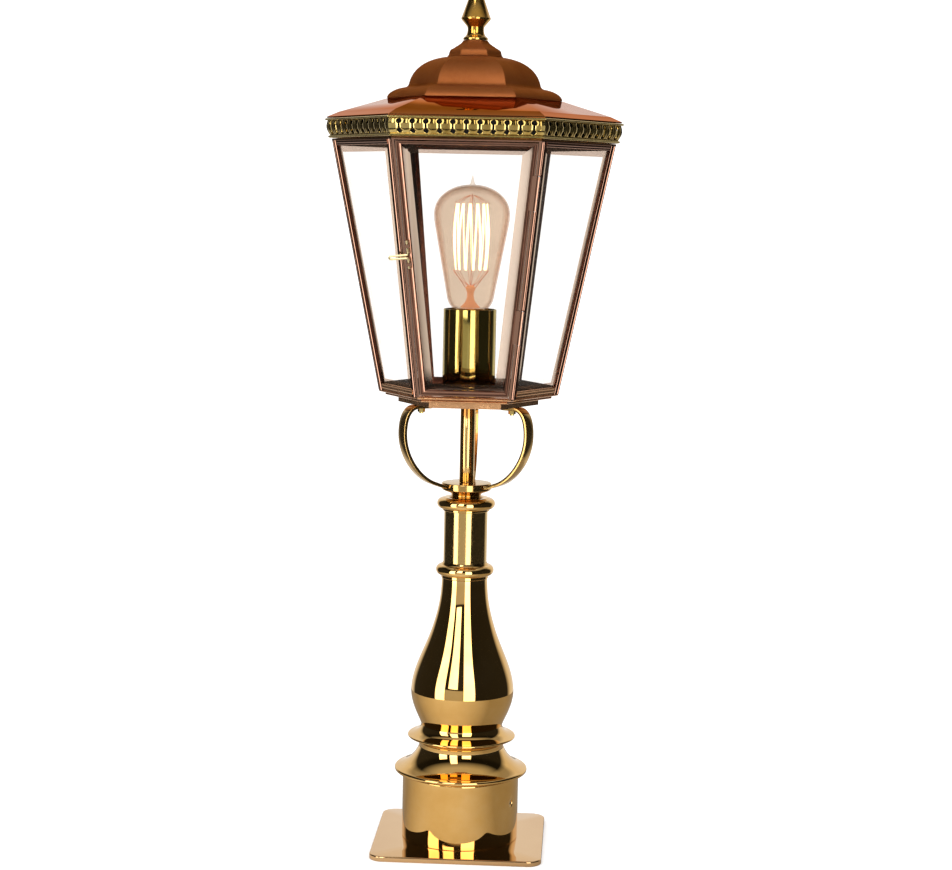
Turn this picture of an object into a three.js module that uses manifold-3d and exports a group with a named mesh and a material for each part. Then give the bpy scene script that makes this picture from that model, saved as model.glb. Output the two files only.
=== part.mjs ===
// A table-top street lamp: a turned brass column on a square plate, three brass straps
// and a six-sided copper lantern with a hinged front door and a long bulb inside.
// Millimetres, +Z up, origin in the middle of the base plate's underside, front is -Y.

import * as THREE from "three";
import { mergeVertices } from "three/addons/utils/BufferGeometryUtils.js";
import Module from "manifold-3d";

const wasm = await Module();
wasm.setup();

// ---------- driving dimensions ----------

const GAP = 0.3; // clearance between neighbouring pieces
const ROUND_SIDES = 32; // sides of a turned piece
const SMALL_SIDES = 12; // sides of a screw, a pin or a hole

// Base plate and the socket that the drum slides over.
const PLATE = { side: 145, thickness: 4.5, corner: 12, bevel: 1 };
const NUT_POCKET = { r: 9, depth: 3 };
const DRUM = { r: 50, wall: 3, top: 60.4 };
const SOCKET = { wall: 4, floor: 5, top: 48 };
const GRUB = { r: 2.1, z: 40, azimuth: -26 };
const CABLE_HOLE = { r: 5, z: 16 };
const GROMMET = { bore: 2.6, lip: 2, lipR: 6.6 };

// The hollow threaded tube that clamps the column from the plate to the lamp cup.
const TIE = { r: 4, bore: 2.6, bottom: 0.6, top: 401.8 };
const NUT = { r: 7, thickness: 2.4 };
const BORE = TIE.r + GAP;

// Heights where one turned piece ends and the next begins.
const FLANGE = { bottom: 60.7, rim: 57.1, neck: 36.5, top: 83.8 };
const SAUCER = { bottom: 84, rim: 46.3, neck: 34.9, top: 102.8 };
const VASE = { bottom: 103, belly: 44.2, bellyZ: 132, neck: 19.6, top: 230.6, wall: 3 };
const BEAD = { r: 24.8, neck: 20.2, height: 9 };
const LOWER_BEAD = { bottom: 230.8, middle: 237.9, top: 244.6 };
const SHAFT = { r: 18.6, wall: 3, bottom: 244.8, top: 288.8 };
const UPPER_BEAD = { bottom: 289, middle: 295.2, top: 300.5 };
const SEAT = { foot: 14.6, neck: 12.6, r: 21, bottom: 300.7, rim: 307, top: 313 };
const STEM = { r: 6.3, bottom: 313.2, top: 380.8 };

// Three brass straps from the seat out to the lantern's tray.
const STRAP = { width: 12, thickness: 3, reach: 60.9, boltR: 44 };
const BOLT = { r: 1.8, headR: 3.4, head: 1.6, nutR: 3.2, nut: 3 };

// The lantern: R is the distance from the axis to a corner of the hexagon.
const HEX = 6;
const LANTERN = { bottom: 390.4, top: 601.5, corner: 76.5, growth: 0.2036 };
const SHEET = 1.6; // copper sheet of posts and rails
const ARM = 8.5; // how far a post reaches along a face
const DOOR_ARM = { left: 1.8, right: 1.85 }; // the same, along the door's face
const TRAY = { corner: 59.6, bottom: 381, step: 386.3, floor: 389.4, floorCorner: 65.2 };
const MOULD = { corner: 70.4, bottom: 386.4, inner: 65.8 };
const RAIL = { bottomTop: 397, topBottom: 595.6, ledge: 9, ledgeThickness: 1.5 };
const GLASS = { thickness: 3.5, depth: 1.9, bottom: 392.4, top: 598.4, inset: 3.8 };
const DOOR = { bottom: 392.4, top: 598.3, thickness: 2.4, left: 2.2, right: 2.2 };
const DOOR_STILE = { left: 5.8, right: 4.3, bottom: 5, top: 3.6 };

// Hinges on the front right corner and the wire catch on the door's left stile.
const KNUCKLE = { r: 1.5, bore: 0.85, pin: 0.76, out: 2.1 };
const HINGE = { length: 28, leaf: 5, thickness: 0.7, middles: [450.5, 559] };
const CATCH = { wire: 0.9, z: 507, side: 4.2, out: 1.9, up: 13, down: 10, reach: 15.5, loop: 1.3 };
const KEEPER = { width: 3.8, height: 2.6, bore: 1, top: 3.6, places: [-6.5, 8.5] };

// Gallery, roof and finial.
const GALLERY = { bottom: 601.7, top: 618.5, lip: 125.6, waist: 121, belly: 123.8, wall: 3 };
const SKIRT = { bottom: 618.7, eaves: 124, break: 115, breakZ: 623.5, top: 635.8, corner: 74 };
// The dome is open at the top, and the cap stands on the flat ledge round the hole.
const DOME = {
  bottom: 636,
  corner: 73.6,
  shoulder: 58.5,
  foot: 55,
  top: 671,
  cornerTop: 25,
  hole: 18,
  wall: 2,
};
const CAP = { bottom: 671.2, corner: 24, top: 685, cornerTop: 10.5 };
const FINIAL = { bottom: 685.2, foot: 10.4, neck: 6.9, edge: 12.5, edgeZ: 703.2, top: 735 };

// Lamp cup, lampholder and bulb.
const CUP = { r: 22.4, wall: 1.2, bottom: 396.8, floor: 2, top: 461 };
const WASHER = { r: 19.6, bottom: 394.9, top: 396.5 };
const HOLDER = { r: 20.6, bottom: 404.6, top: 456, bore: 14, seat: 431.5 };
const BULB_CAP = { r: 13.2, contact: 4.5, bottom: 434, skirt: 437, top: 461.4 };
const BULB = { r: 32, widest: 541, neck: 15, bottom: 461.7, dome: 565, tip: 574, wall: 1.1 };
const FILAMENT = { r: 15.5, bottom: 493, top: 551, wire: 0.5, runs: 12 };

// ---------- finishes ----------

const FINISH = {
  brass: { color: 0xc9a45c, roughness: 0.16, metalness: 1 },
  antique: { color: 0x8a7433, roughness: 0.38, metalness: 1 },
  copper: { color: 0x7b4230, roughness: 0.3, metalness: 1 },
  roof: { color: 0x8c5326, roughness: 0.24, metalness: 1 },
  steel: { color: 0x9a9a98, roughness: 0.35, metalness: 1 },
  ceramic: { color: 0xe9e4da, roughness: 0.3, metalness: 0 },
  rubber: { color: 0x1c1b1a, roughness: 0.7, metalness: 0 },
  glass: { color: 0xf4efe9, roughness: 0.04, metalness: 0, transparent: true, opacity: 0.3 },
  amber: { color: 0xe2ad78, roughness: 0.04, metalness: 0, transparent: true, opacity: 0.5 },
  glow: { color: 0xffe2b0, roughness: 0.5, metalness: 0 },
};

const lamp = new THREE.Group();

function add(name, geometry, finish, parent = lamp) {
  const mesh = new THREE.Mesh(geometry, new THREE.MeshStandardMaterial(FINISH[finish]));
  mesh.name = name;
  parent.add(mesh);
  return mesh;
}

// ---------- geometry helpers ----------

const radians = THREE.MathUtils.degToRad;
const at = (x, y) => new THREE.Vector2(x, y);

// Keeps only positions, merges shared vertices and drops triangles that fell together.
function closed(geometry) {
  const bare = geometry.index ? geometry.toNonIndexed() : geometry;
  const only = new THREE.BufferGeometry();
  only.setAttribute("position", bare.getAttribute("position"));
  const merged = mergeVertices(only, 1e-4);
  const old = merged.index.array;
  const kept = [];
  for (let i = 0; i < old.length; i += 3) {
    const [a, b, c] = [old[i], old[i + 1], old[i + 2]];
    if (a !== b && b !== c && c !== a) kept.push(a, b, c);
  }
  merged.setIndex(kept);
  merged.computeVertexNormals();
  return merged;
}

function solidOf(geometry) {
  const vertProperties = geometry.getAttribute("position").array;
  const triVerts = new Uint32Array(geometry.index.array);
  return new wasm.Manifold(new wasm.Mesh({ numProp: 3, vertProperties, triVerts }));
}

function geometryOf(solid) {
  const { vertProperties, triVerts } = solid.getMesh();
  const geometry = new THREE.BufferGeometry();
  geometry.setAttribute("position", new THREE.BufferAttribute(vertProperties, 3));
  geometry.setIndex(new THREE.BufferAttribute(triVerts, 1));
  geometry.computeVertexNormals();
  return geometry;
}

function cut(geometry, ...tools) {
  return geometryOf(tools.reduce((left, tool) => left.subtract(solidOf(tool)), solidOf(geometry)));
}

function join(...geometries) {
  return geometryOf(geometries.map(solidOf).reduce((all, next) => all.add(next)));
}

// Turns a profile of (radius, height) points, listed bottom outer edge first, about Z.
function revolve(points, sides = ROUND_SIDES, start = 0) {
  const whole = new THREE.LatheGeometry([...points, points[0]], sides, start, 2 * Math.PI);
  return closed(whole.rotateX(Math.PI / 2));
}

const hexagonal = (points) => revolve(points, HEX, Math.PI / 6);

// The (radius, height) points of a path drawn by a function; curves get this many steps.
function outline(steps, draw) {
  const path = new THREE.Path();
  draw(path);
  return path.getPoints(steps);
}

// A profile closed by a straight bore down its middle.
function bored(points, bore = BORE) {
  const [first, last] = [points[0], points[points.length - 1]];
  return [at(bore, first.y), ...points, at(bore, last.y)];
}

function rod(r, bottom, top, sides = SMALL_SIDES) {
  return revolve([at(0, bottom), at(r, bottom), at(r, top), at(0, top)], sides);
}

function tube(r, bore, bottom, top, sides = ROUND_SIDES) {
  return revolve([at(bore, bottom), at(r, bottom), at(r, top), at(bore, top)], sides);
}

function hexNut(r, bore, bottom, top) {
  return cut(rod(r, bottom, top, HEX), rod(bore, bottom - 1, top + 1));
}

function box(x0, x1, y0, y1, z0, z1) {
  const block = new THREE.BoxGeometry(x1 - x0, y1 - y0, z1 - z0);
  return closed(block.translate((x0 + x1) / 2, (y0 + y1) / 2, (z0 + z1) / 2));
}

function extruded(shape, depth) {
  return closed(new THREE.ExtrudeGeometry(shape, { depth, bevelEnabled: false, curveSegments: 6 }));
}

// A solid between two outlines of equally many points, each listed anticlockwise.
function loft(lower, lowerZ, upper, upperZ) {
  const count = lower.length;
  const corners = [
    ...lower.map((p) => [p.x, p.y, lowerZ]),
    ...upper.map((p) => [p.x, p.y, upperZ]),
  ];
  const triangles = [];
  for (let i = 0; i < count; i += 1) {
    const next = (i + 1) % count;
    triangles.push([i, next, count + next], [i, count + next, count + i]);
  }
  for (const [a, b, c] of THREE.ShapeUtils.triangulateShape(lower, [])) {
    triangles.push([c, b, a], [count + a, count + b, count + c]);
  }
  const geometry = new THREE.BufferGeometry();
  const flat = triangles.flat().flatMap((index) => corners[index]);
  geometry.setAttribute("position", new THREE.Float32BufferAttribute(flat, 3));
  return closed(geometry);
}

// ---------- base ----------

function roundedSquare(side, corner) {
  const half = side / 2;
  const shape = new THREE.Shape();
  const inner = half - corner;
  shape.absarc(inner, inner, corner, 0, Math.PI / 2);
  shape.absarc(-inner, inner, corner, Math.PI / 2, Math.PI);
  shape.absarc(-inner, -inner, corner, Math.PI, 1.5 * Math.PI);
  shape.absarc(inner, -inner, corner, 1.5 * Math.PI, 2 * Math.PI);
  return shape;
}

function basePlate() {
  const { side, thickness, corner, bevel } = PLATE;
  const flat = extruded(roundedSquare(side, corner), thickness - bevel);
  const lower = roundedSquare(side, corner).getPoints(6).slice(0, -1);
  const upper = lower.map((p) => p.clone().multiplyScalar(1 - (2 * bevel) / side));
  const edge = loft(lower, thickness - bevel, upper, thickness);
  const pocket = rod(NUT_POCKET.r, -1, NUT_POCKET.depth, ROUND_SIDES);
  return cut(join(flat, edge), pocket, rod(BORE, -1, thickness + 1));
}

// A short rod along a horizontal radius of the column, between two distances from the axis.
function spoke(r, from, to, azimuth, z, bore = 0) {
  const bar = bore ? tube(r, bore, from, to, SMALL_SIDES) : rod(r, from, to);
  return bar
    .rotateY(Math.PI / 2)
    .rotateZ(radians(azimuth))
    .translate(0, 0, z);
}

const CABLE_AZIMUTH = 90;
const drumBottom = PLATE.thickness + 0.1;
const socketR = DRUM.r - DRUM.wall - GAP;

function baseDrum() {
  const shell = tube(DRUM.r, DRUM.r - DRUM.wall, drumBottom, DRUM.top);
  const grubHole = spoke(GRUB.r + GAP, DRUM.r - 8, DRUM.r + 2, GRUB.azimuth, GRUB.z);
  const cableHole = spoke(CABLE_HOLE.r, DRUM.r - 8, DRUM.r + 2, CABLE_AZIMUTH, CABLE_HOLE.z);
  return cut(shell, grubHole, cableHole);
}

function baseSocket() {
  const floorTop = drumBottom + SOCKET.floor;
  const inner = socketR - SOCKET.wall;
  const cup = revolve([
    at(BORE, drumBottom),
    at(socketR, drumBottom),
    at(socketR, SOCKET.top),
    at(inner, SOCKET.top),
    at(inner, floorTop),
    at(BORE, floorTop),
  ]);
  const cableHole = spoke(CABLE_HOLE.r, inner - 3, DRUM.r, CABLE_AZIMUTH, CABLE_HOLE.z);
  return cut(cup, cableHole);
}

function cableGrommet() {
  const barrelR = CABLE_HOLE.r - GAP;
  const inner = socketR - SOCKET.wall - 2;
  const profile = [
    at(GROMMET.bore, inner),
    at(barrelR, inner),
    at(barrelR, DRUM.r + GAP),
    at(GROMMET.lipR, DRUM.r + GAP),
    at(GROMMET.lipR - 0.8, DRUM.r + GAP + GROMMET.lip),
    at(GROMMET.bore, DRUM.r + GAP + GROMMET.lip),
  ];
  return revolve(profile, SMALL_SIDES)
    .rotateY(Math.PI / 2)
    .rotateZ(radians(CABLE_AZIMUTH))
    .translate(0, 0, CABLE_HOLE.z);
}

add("base_plate", basePlate(), "brass");
add("base_socket", baseSocket(), "steel");
add("base_drum", baseDrum(), "brass");
const grubInner = socketR + 0.2;
const grubOuter = DRUM.r - 0.8;
add("drum_grub_screw", spoke(GRUB.r, grubInner, grubOuter, GRUB.azimuth, GRUB.z), "steel");
add("cable_grommet", cableGrommet(), "rubber");
const nutTop = NUT_POCKET.depth - 0.1;
add("base_nut", hexNut(NUT.r, BORE, nutTop - NUT.thickness, nutTop), "steel");
add("tie_tube", tube(TIE.r, TIE.bore, TIE.bottom, TIE.top, SMALL_SIDES), "steel");

// ---------- turned column ----------

function flangeCollar() {
  const outer = outline(4, (path) => {
    path.moveTo(DRUM.r, FLANGE.bottom);
    path.lineTo(54.5, 61.9);
    path.quadraticCurveTo(FLANGE.rim, 62.4, FLANGE.rim, 64.2);
    path.quadraticCurveTo(FLANGE.rim, 65.8, 55.3, 66);
    path.bezierCurveTo(49.5, 67.6, 40.8, 72.6, FLANGE.neck, FLANGE.top);
  });
  const inside = [
    at(BORE, FLANGE.top),
    at(BORE, FLANGE.top - 5),
    at(FLANGE.neck - 4, FLANGE.top - 5),
    at(FLANGE.neck - 2, 70),
    at(DRUM.r - 4, 63.6),
    at(DRUM.r - 4, FLANGE.bottom),
  ];
  return revolve([...outer, ...inside]);
}

function saucerRing() {
  const outer = outline(4, (path) => {
    path.moveTo(36.3, SAUCER.bottom);
    path.bezierCurveTo(36.8, 89.8, 41, 91.6, SAUCER.rim - 0.7, 92.3);
    path.quadraticCurveTo(SAUCER.rim, 92.5, SAUCER.rim, 93.2);
    path.quadraticCurveTo(SAUCER.rim, 93.9, SAUCER.rim - 0.9, 94.1);
    path.bezierCurveTo(40, 95.3, 35.1, 98, SAUCER.neck, SAUCER.top);
  });
  return revolve(bored(outer, SAUCER.neck - 4.5));
}

function vaseBody() {
  const { belly, bellyZ, neck, top, wall } = VASE;
  const outer = outline(5, (path) => {
    path.moveTo(SAUCER.neck, VASE.bottom);
    path.bezierCurveTo(36.6, 109, 43.8, 119.5, belly, bellyZ);
    path.bezierCurveTo(belly, 151, 33, 168, 27, 187);
    path.bezierCurveTo(23, 200, neck + 0.1, 212, neck, top);
  });
  const inner = outer.map((p) => at(p.x - wall, p.y)).filter((p) => p.y < top - 5);
  const ceiling = [at(BORE, top), at(BORE, top - 5), at(neck - wall, top - 5)];
  return revolve([...outer, ...ceiling, ...inner.reverse()]);
}

// A half-round bead with a short fillet above and below.
function bead({ bottom, middle, top }) {
  const bulge = BEAD.r - BEAD.neck;
  const rise = BEAD.height / 2;
  const outer = outline(4, (path) => {
    path.moveTo(BEAD.neck, bottom);
    path.absellipse(BEAD.neck, middle, bulge, rise, -Math.PI / 2, Math.PI / 2, false);
    path.lineTo(BEAD.neck, top);
  });
  return revolve(bored(outer));
}

function bracketSeat() {
  const { foot, neck, r, bottom, rim, top } = SEAT;
  const outer = outline(4, (path) => {
    path.moveTo(foot, bottom);
    path.bezierCurveTo(neck, bottom + 0.6, neck + 0.4, bottom + 2, r - 3.6, rim - 1.6);
    path.lineTo(r - 0.8, rim);
    path.quadraticCurveTo(r, rim + 0.2, r, rim + 1);
    path.lineTo(r, top - 0.6);
    path.lineTo(r - 0.6, top);
  });
  return revolve(bored(outer));
}

add("flange_collar", flangeCollar(), "brass");
add("saucer_ring", saucerRing(), "brass");
add("vase_body", vaseBody(), "brass");
add("lower_bead", bead(LOWER_BEAD), "brass");
add("shaft_sleeve", tube(SHAFT.r, SHAFT.r - SHAFT.wall, SHAFT.bottom, SHAFT.top), "brass");
add("upper_bead", bead(UPPER_BEAD), "brass");
add("bracket_seat", bracketSeat(), "brass");
add("stem_sleeve", tube(STEM.r, BORE, STEM.bottom, STEM.top, 24), "brass");

// ---------- strap brackets ----------

const strapTop = TRAY.bottom - 0.2 - STRAP.thickness / 2;

// The strap's middle line in its own upright plane: x is the distance from the lamp's axis.
function strapLine() {
  const line = new THREE.CurvePath();
  const start = at(SEAT.r + GAP, 310.5);
  const knee = at(31, 313.5);
  const outermost = at(STRAP.reach, 357);
  const bend = at(48, strapTop);
  line.add(new THREE.CubicBezierCurve(start, at(25, 311), at(28, 312.3), knee));
  line.add(new THREE.CubicBezierCurve(knee, at(45, 317.5), at(STRAP.reach, 336), outermost));
  line.add(new THREE.CubicBezierCurve(outermost, at(STRAP.reach, 370), at(57, strapTop), bend));
  line.add(new THREE.LineCurve(bend, at(37, strapTop)));
  return line;
}

// A band of constant thickness along a plane curve.
function ribbon(line, thickness, steps) {
  const outer = [];
  const inner = [];
  for (let i = 0; i <= steps; i += 1) {
    const middle = line.getPointAt(i / steps);
    const along = line.getTangentAt(i / steps);
    const side = at(along.y, -along.x).multiplyScalar(thickness / 2);
    outer.push(middle.clone().add(side));
    inner.unshift(middle.clone().sub(side));
  }
  return new THREE.Shape([...outer, ...inner]);
}

function strap(azimuth) {
  const band = extruded(ribbon(strapLine(), STRAP.thickness, 26), STRAP.width);
  band.translate(0, 0, -STRAP.width / 2).rotateX(Math.PI / 2);
  const hole = rod(BOLT.r + GAP, strapTop - 4, strapTop + 4).translate(STRAP.boltR, 0, 0);
  return cut(band, hole).rotateZ(radians(azimuth));
}

// A bolt from the lantern's floor down through the strap, with the nut it holds below.
function strapBolt(azimuth) {
  const nutTop = strapTop - STRAP.thickness / 2 - 0.1;
  const headBottom = TRAY.floor + 0.1;
  const tip = nutTop - BOLT.nut - 1.2;
  const shank = rod(BOLT.r, tip, headBottom + 0.5);
  const head = revolve(
    outline(4, (path) => {
      path.moveTo(0, headBottom);
      path.lineTo(BOLT.headR, headBottom);
      path.quadraticCurveTo(BOLT.headR * 0.8, headBottom + BOLT.head, 0, headBottom + BOLT.head);
    }),
    SMALL_SIDES,
  );
  const nut = rod(BOLT.nutR, nutTop - BOLT.nut, nutTop, HEX);
  return join(shank, head, nut).translate(STRAP.boltR, 0, 0).rotateZ(radians(azimuth));
}

const STRAPS = { back: 90, left: 210, right: 330 };
for (const [side, azimuth] of Object.entries(STRAPS)) {
  add("bracket_" + side, strap(azimuth), "brass");
  add("bracket_bolt_" + side, strapBolt(azimuth), "antique");
}

// ---------- lantern frame ----------

const cornerR = (z) => LANTERN.corner + LANTERN.growth * (z - LANTERN.bottom);
const toApothem = Math.cos(Math.PI / HEX);
const tilt = Math.atan(LANTERN.growth * toApothem);

// The V section of a post at height z; `grow` widens it all round into a clearance cutter.
function postSection(corner, z, arms, grow) {
  const slack = 2 * grow;
  const r = cornerR(z) + slack;
  const sheet = (SHEET + grow) / toApothem + slack;
  const direction = (degrees) => at(Math.cos(radians(degrees)), Math.sin(radians(degrees)));
  const tip = direction(corner).multiplyScalar(r);
  const heel = direction(corner).multiplyScalar(r - sheet);
  const armEnd = (turn, length) =>
    tip.clone().addScaledVector(direction(corner + turn), length + slack);
  const inward = (turn) => direction(corner + turn).multiplyScalar(-sheet * toApothem);
  const first = armEnd(120, arms[0]);
  const last = armEnd(-120, arms[1]);
  return [tip, first, first.clone().add(inward(30)), heel, last.clone().add(inward(-30)), last];
}

function post(corner, arms, bottom, top, grow = 0) {
  const lower = postSection(corner, bottom, arms, grow);
  return loft(lower, bottom, postSection(corner, top, arms, grow), top);
}

// Each corner: its azimuth and the post's reach along the next and the previous face.
const POSTS = {
  right: { azimuth: 0, arms: [ARM, ARM] },
  back_right: { azimuth: 60, arms: [ARM, ARM] },
  back_left: { azimuth: 120, arms: [ARM, ARM] },
  left: { azimuth: 180, arms: [ARM, ARM] },
  front_left: { azimuth: 240, arms: [DOOR_ARM.left, ARM] },
  front_right: { azimuth: 300, arms: [ARM, DOOR_ARM.right] },
};
const postBottom = LANTERN.bottom + 0.2;
const postTop = LANTERN.top - RAIL.ledgeThickness - 0.2;

// The frame of reference of a lantern face: X along it, Y up its slope, Z straight out of it.
function faceFrame(azimuth) {
  const angle = radians(azimuth);
  const out = new THREE.Vector3(Math.cos(angle), Math.sin(angle), 0);
  const up = new THREE.Vector3(0, 0, 1);
  const along = new THREE.Vector3(-Math.sin(angle), Math.cos(angle), 0);
  const slope = out.clone().multiplyScalar(Math.sin(tilt)).addScaledVector(up, Math.cos(tilt));
  const normal = out.clone().multiplyScalar(Math.cos(tilt)).addScaledVector(up, -Math.sin(tilt));
  const frame = new THREE.Group();
  frame.quaternion.setFromRotationMatrix(new THREE.Matrix4().makeBasis(along, slope, normal));
  frame.position.copy(out).multiplyScalar(LANTERN.corner * toApothem);
  frame.position.z = LANTERN.bottom;
  lamp.add(frame);
  frame.updateMatrixWorld(true);
  return frame;
}

// Distance up the slope of a face that reaches height z.
const rise = (z) => (z - LANTERN.bottom) / Math.cos(tilt);

// A face's outline between two heights, with its sides set in from the corners.
function panelPoints(bottom, top, left, right) {
  const [low, high] = [cornerR(bottom) / 2, cornerR(top) / 2];
  return [
    at(left - low, rise(bottom)),
    at(low - right, rise(bottom)),
    at(high - right, rise(top)),
    at(left - high, rise(top)),
  ];
}

const front = faceFrame(270);

function doorBlank(grow, depth) {
  const { bottom, top, left, right } = DOOR;
  const points = panelPoints(bottom - grow, top + grow, left - grow, right - grow);
  return extruded(new THREE.Shape(points), depth);
}

function ringWithoutDoor(profile) {
  const posts = Object.values(POSTS).map(({ azimuth, arms }) =>
    post(azimuth, arms, postBottom - 0.2, postTop + 0.2, GAP),
  );
  const door = doorBlank(0.4, 12)
    .translate(0, 0, -DOOR.thickness - GAP)
    .applyMatrix4(front.matrixWorld);
  return cut(hexagonal(profile), ...posts, door);
}

function bottomFrame() {
  const sheet = SHEET / toApothem;
  const lip = cornerR(RAIL.bottomTop);
  const ledgeTop = LANTERN.bottom + 1.5;
  return ringWithoutDoor([
    at(MOULD.inner, MOULD.bottom),
    at(MOULD.corner - 0.8, MOULD.bottom),
    at(MOULD.corner, MOULD.bottom + 0.9),
    at(MOULD.corner + 0.8, MOULD.bottom + 2.4),
    at(LANTERN.corner, LANTERN.bottom - 0.6),
    at(LANTERN.corner, LANTERN.bottom),
    at(lip, RAIL.bottomTop),
    at(lip - sheet, RAIL.bottomTop),
    at(cornerR(ledgeTop) - sheet, ledgeTop),
    at(MOULD.inner, ledgeTop),
  ]);
}

function topFrame() {
  const sheet = SHEET / toApothem;
  const [low, high] = [cornerR(RAIL.topBottom), cornerR(LANTERN.top)];
  const ledgeBottom = LANTERN.top - RAIL.ledgeThickness;
  return ringWithoutDoor([
    at(low, RAIL.topBottom),
    at(high, LANTERN.top),
    at(high - RAIL.ledge, LANTERN.top),
    at(high - RAIL.ledge, ledgeBottom),
    at(cornerR(ledgeBottom) - sheet, ledgeBottom),
    at(low - sheet, RAIL.topBottom),
  ]);
}

function tray() {
  const { corner, bottom, step, floor, floorCorner } = TRAY;
  const blank = hexagonal([
    at(0, bottom),
    at(corner, bottom),
    at(corner, step),
    at(floorCorner, step),
    at(floorCorner, floor),
    at(0, floor),
  ]);
  const boltHoles = Object.values(STRAPS).map((azimuth) =>
    rod(BOLT.r + GAP, bottom - 1, floor + 1)
      .translate(STRAP.boltR, 0, 0)
      .rotateZ(radians(azimuth)),
  );
  return cut(blank, rod(BORE, bottom - 1, floor + 1), ...boltHoles);
}

add("tray", tray(), "copper");
add("bottom_frame", bottomFrame(), "copper");
for (const [name, { azimuth, arms }] of Object.entries(POSTS)) {
  add("post_" + name, post(azimuth, arms, postBottom, postTop), "copper");
}
add("top_frame", topFrame(), "copper");

const PANES = { right_front: 330, right_back: 30, back: 90, left_back: 150, left_front: 210 };
for (const [name, azimuth] of Object.entries(PANES)) {
  const { bottom, top, inset, thickness, depth } = GLASS;
  const shape = new THREE.Shape(panelPoints(bottom, top, inset, inset));
  const pane = extruded(shape, thickness).translate(0, 0, -depth - thickness);
  add("glass_" + name, pane, "glass", faceFrame(azimuth));
}

// ---------- door ----------

function doorFrame() {
  const { left, right } = DOOR;
  const window = panelPoints(
    DOOR.bottom + DOOR_STILE.bottom,
    DOOR.top - DOOR_STILE.top,
    left + DOOR_STILE.left,
    right + DOOR_STILE.right,
  );
  const opening = extruded(new THREE.Shape(window), 10).translate(0, 0, -5);
  return cut(doorBlank(0, DOOR.thickness).translate(0, 0, -DOOR.thickness), opening);
}

function doorGlass() {
  const points = panelPoints(DOOR.bottom + 1.2, DOOR.top - 1.2, DOOR.left + 1.6, DOOR.right + 1.6);
  const depth = DOOR.thickness + GAP + GLASS.thickness;
  return extruded(new THREE.Shape(points), GLASS.thickness).translate(0, 0, -depth);
}

add("door_frame", doorFrame(), "copper", front);
add("door_glass", doorGlass(), "glass", front);

// A frame on the front face whose Y axis runs parallel to the right (1) or left (-1) corner.
function edgeFrame(hand, fromCorner, z, out) {
  const frame = new THREE.Group();
  frame.position.set(hand * (cornerR(z) / 2 - fromCorner), rise(z), out);
  frame.rotation.z = -hand * Math.atan((LANTERN.growth / 2) * Math.cos(tilt));
  front.add(frame);
  return frame;
}

// Knuckles along Y between pairs of heights, and the flat leaf that carries them.
function hingeLeaf(knuckles, side, turn) {
  const { length, leaf, thickness } = HINGE;
  const barrels = knuckles.map(([low, high]) =>
    tube(KNUCKLE.r, KNUCKLE.bore, low, high, SMALL_SIDES).rotateX(-Math.PI / 2),
  );
  const inner = KNUCKLE.r + GAP;
  const back = -KNUCKLE.r;
  const span = (from, to) => [Math.min(side * from, side * to), Math.max(side * from, side * to)];
  const plate = box(...span(inner, leaf), -length / 2, length / 2, back, back + thickness);
  const tabs = knuckles.map(([low, high]) =>
    box(...span(0, inner + 0.1), low, high, back, back + thickness - 0.05),
  );
  const pinHole = rod(KNUCKLE.bore, -length, length).rotateX(-Math.PI / 2);
  const flat = join(plate, ...tabs).rotateY(radians(turn));
  return cut(join(flat, ...barrels), pinHole);
}

const third = HINGE.length / 3;
const outerKnuckles = [
  [-1.5 * third, -0.5 * third - 0.1],
  [0.5 * third + 0.1, 1.5 * third],
];
const middleKnuckle = [[-0.5 * third + 0.1, 0.5 * third - 0.1]];
const hingeFromCorner = -KNUCKLE.out / 2;
const hingeOut = KNUCKLE.out * toApothem;
HINGE.middles.forEach((z, index) => {
  const name = ["hinge_lower", "hinge_upper"][index];
  const frame = edgeFrame(1, hingeFromCorner, z, hingeOut);
  const pin = rod(KNUCKLE.pin, -HINGE.length / 2 - 0.5, HINGE.length / 2 + 0.5);
  add(name + "_door_leaf", hingeLeaf(middleKnuckle, -1, 0), "copper", frame);
  add(name + "_post_leaf", hingeLeaf(outerKnuckles, 1, 60), "copper", frame);
  add(name + "_pin", pin.rotateX(-Math.PI / 2), "steel", frame);
});

// The catch: one wire, straight along the stile with a hairpin loop that reaches over the post.
function catchWire() {
  const { up, down, reach, loop } = CATCH;
  const v = (x, y) => new THREE.Vector3(x, y, 0);
  const line = new THREE.CurvePath();
  const bend = 1.6;
  const shoulder = v(0, loop);
  const hip = v(0, -loop);
  line.add(new THREE.LineCurve3(v(0, up), v(0, loop + bend)));
  line.add(new THREE.QuadraticBezierCurve3(v(0, loop + bend), shoulder, v(-bend, loop)));
  line.add(new THREE.LineCurve3(v(-bend, loop), v(loop - reach, loop)));
  line.add(
    new THREE.CubicBezierCurve3(
      v(loop - reach, loop),
      v(-reach - 0.6, loop),
      v(-reach - 0.6, -loop),
      v(loop - reach, -loop),
    ),
  );
  line.add(new THREE.LineCurve3(v(loop - reach, -loop), v(-bend, -loop)));
  line.add(new THREE.QuadraticBezierCurve3(v(-bend, -loop), hip, v(0, -loop - bend)));
  line.add(new THREE.LineCurve3(v(0, -loop - bend), v(0, -down)));
  const section = new THREE.Shape();
  section.absarc(0, 0, CATCH.wire, 0, 2 * Math.PI);
  return closed(
    new THREE.ExtrudeGeometry(section, { steps: 36, curveSegments: 3, extrudePath: line }),
  );
}

function keeper() {
  const half = KEEPER.width / 2;
  const bottom = 0.2 - CATCH.out;
  const top = KEEPER.top - CATCH.out;
  const tall = KEEPER.height / 2;
  const hole = rod(KEEPER.bore, -5, 5).rotateX(-Math.PI / 2);
  return cut(box(-half, half, -tall, tall, bottom, top), hole);
}

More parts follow.
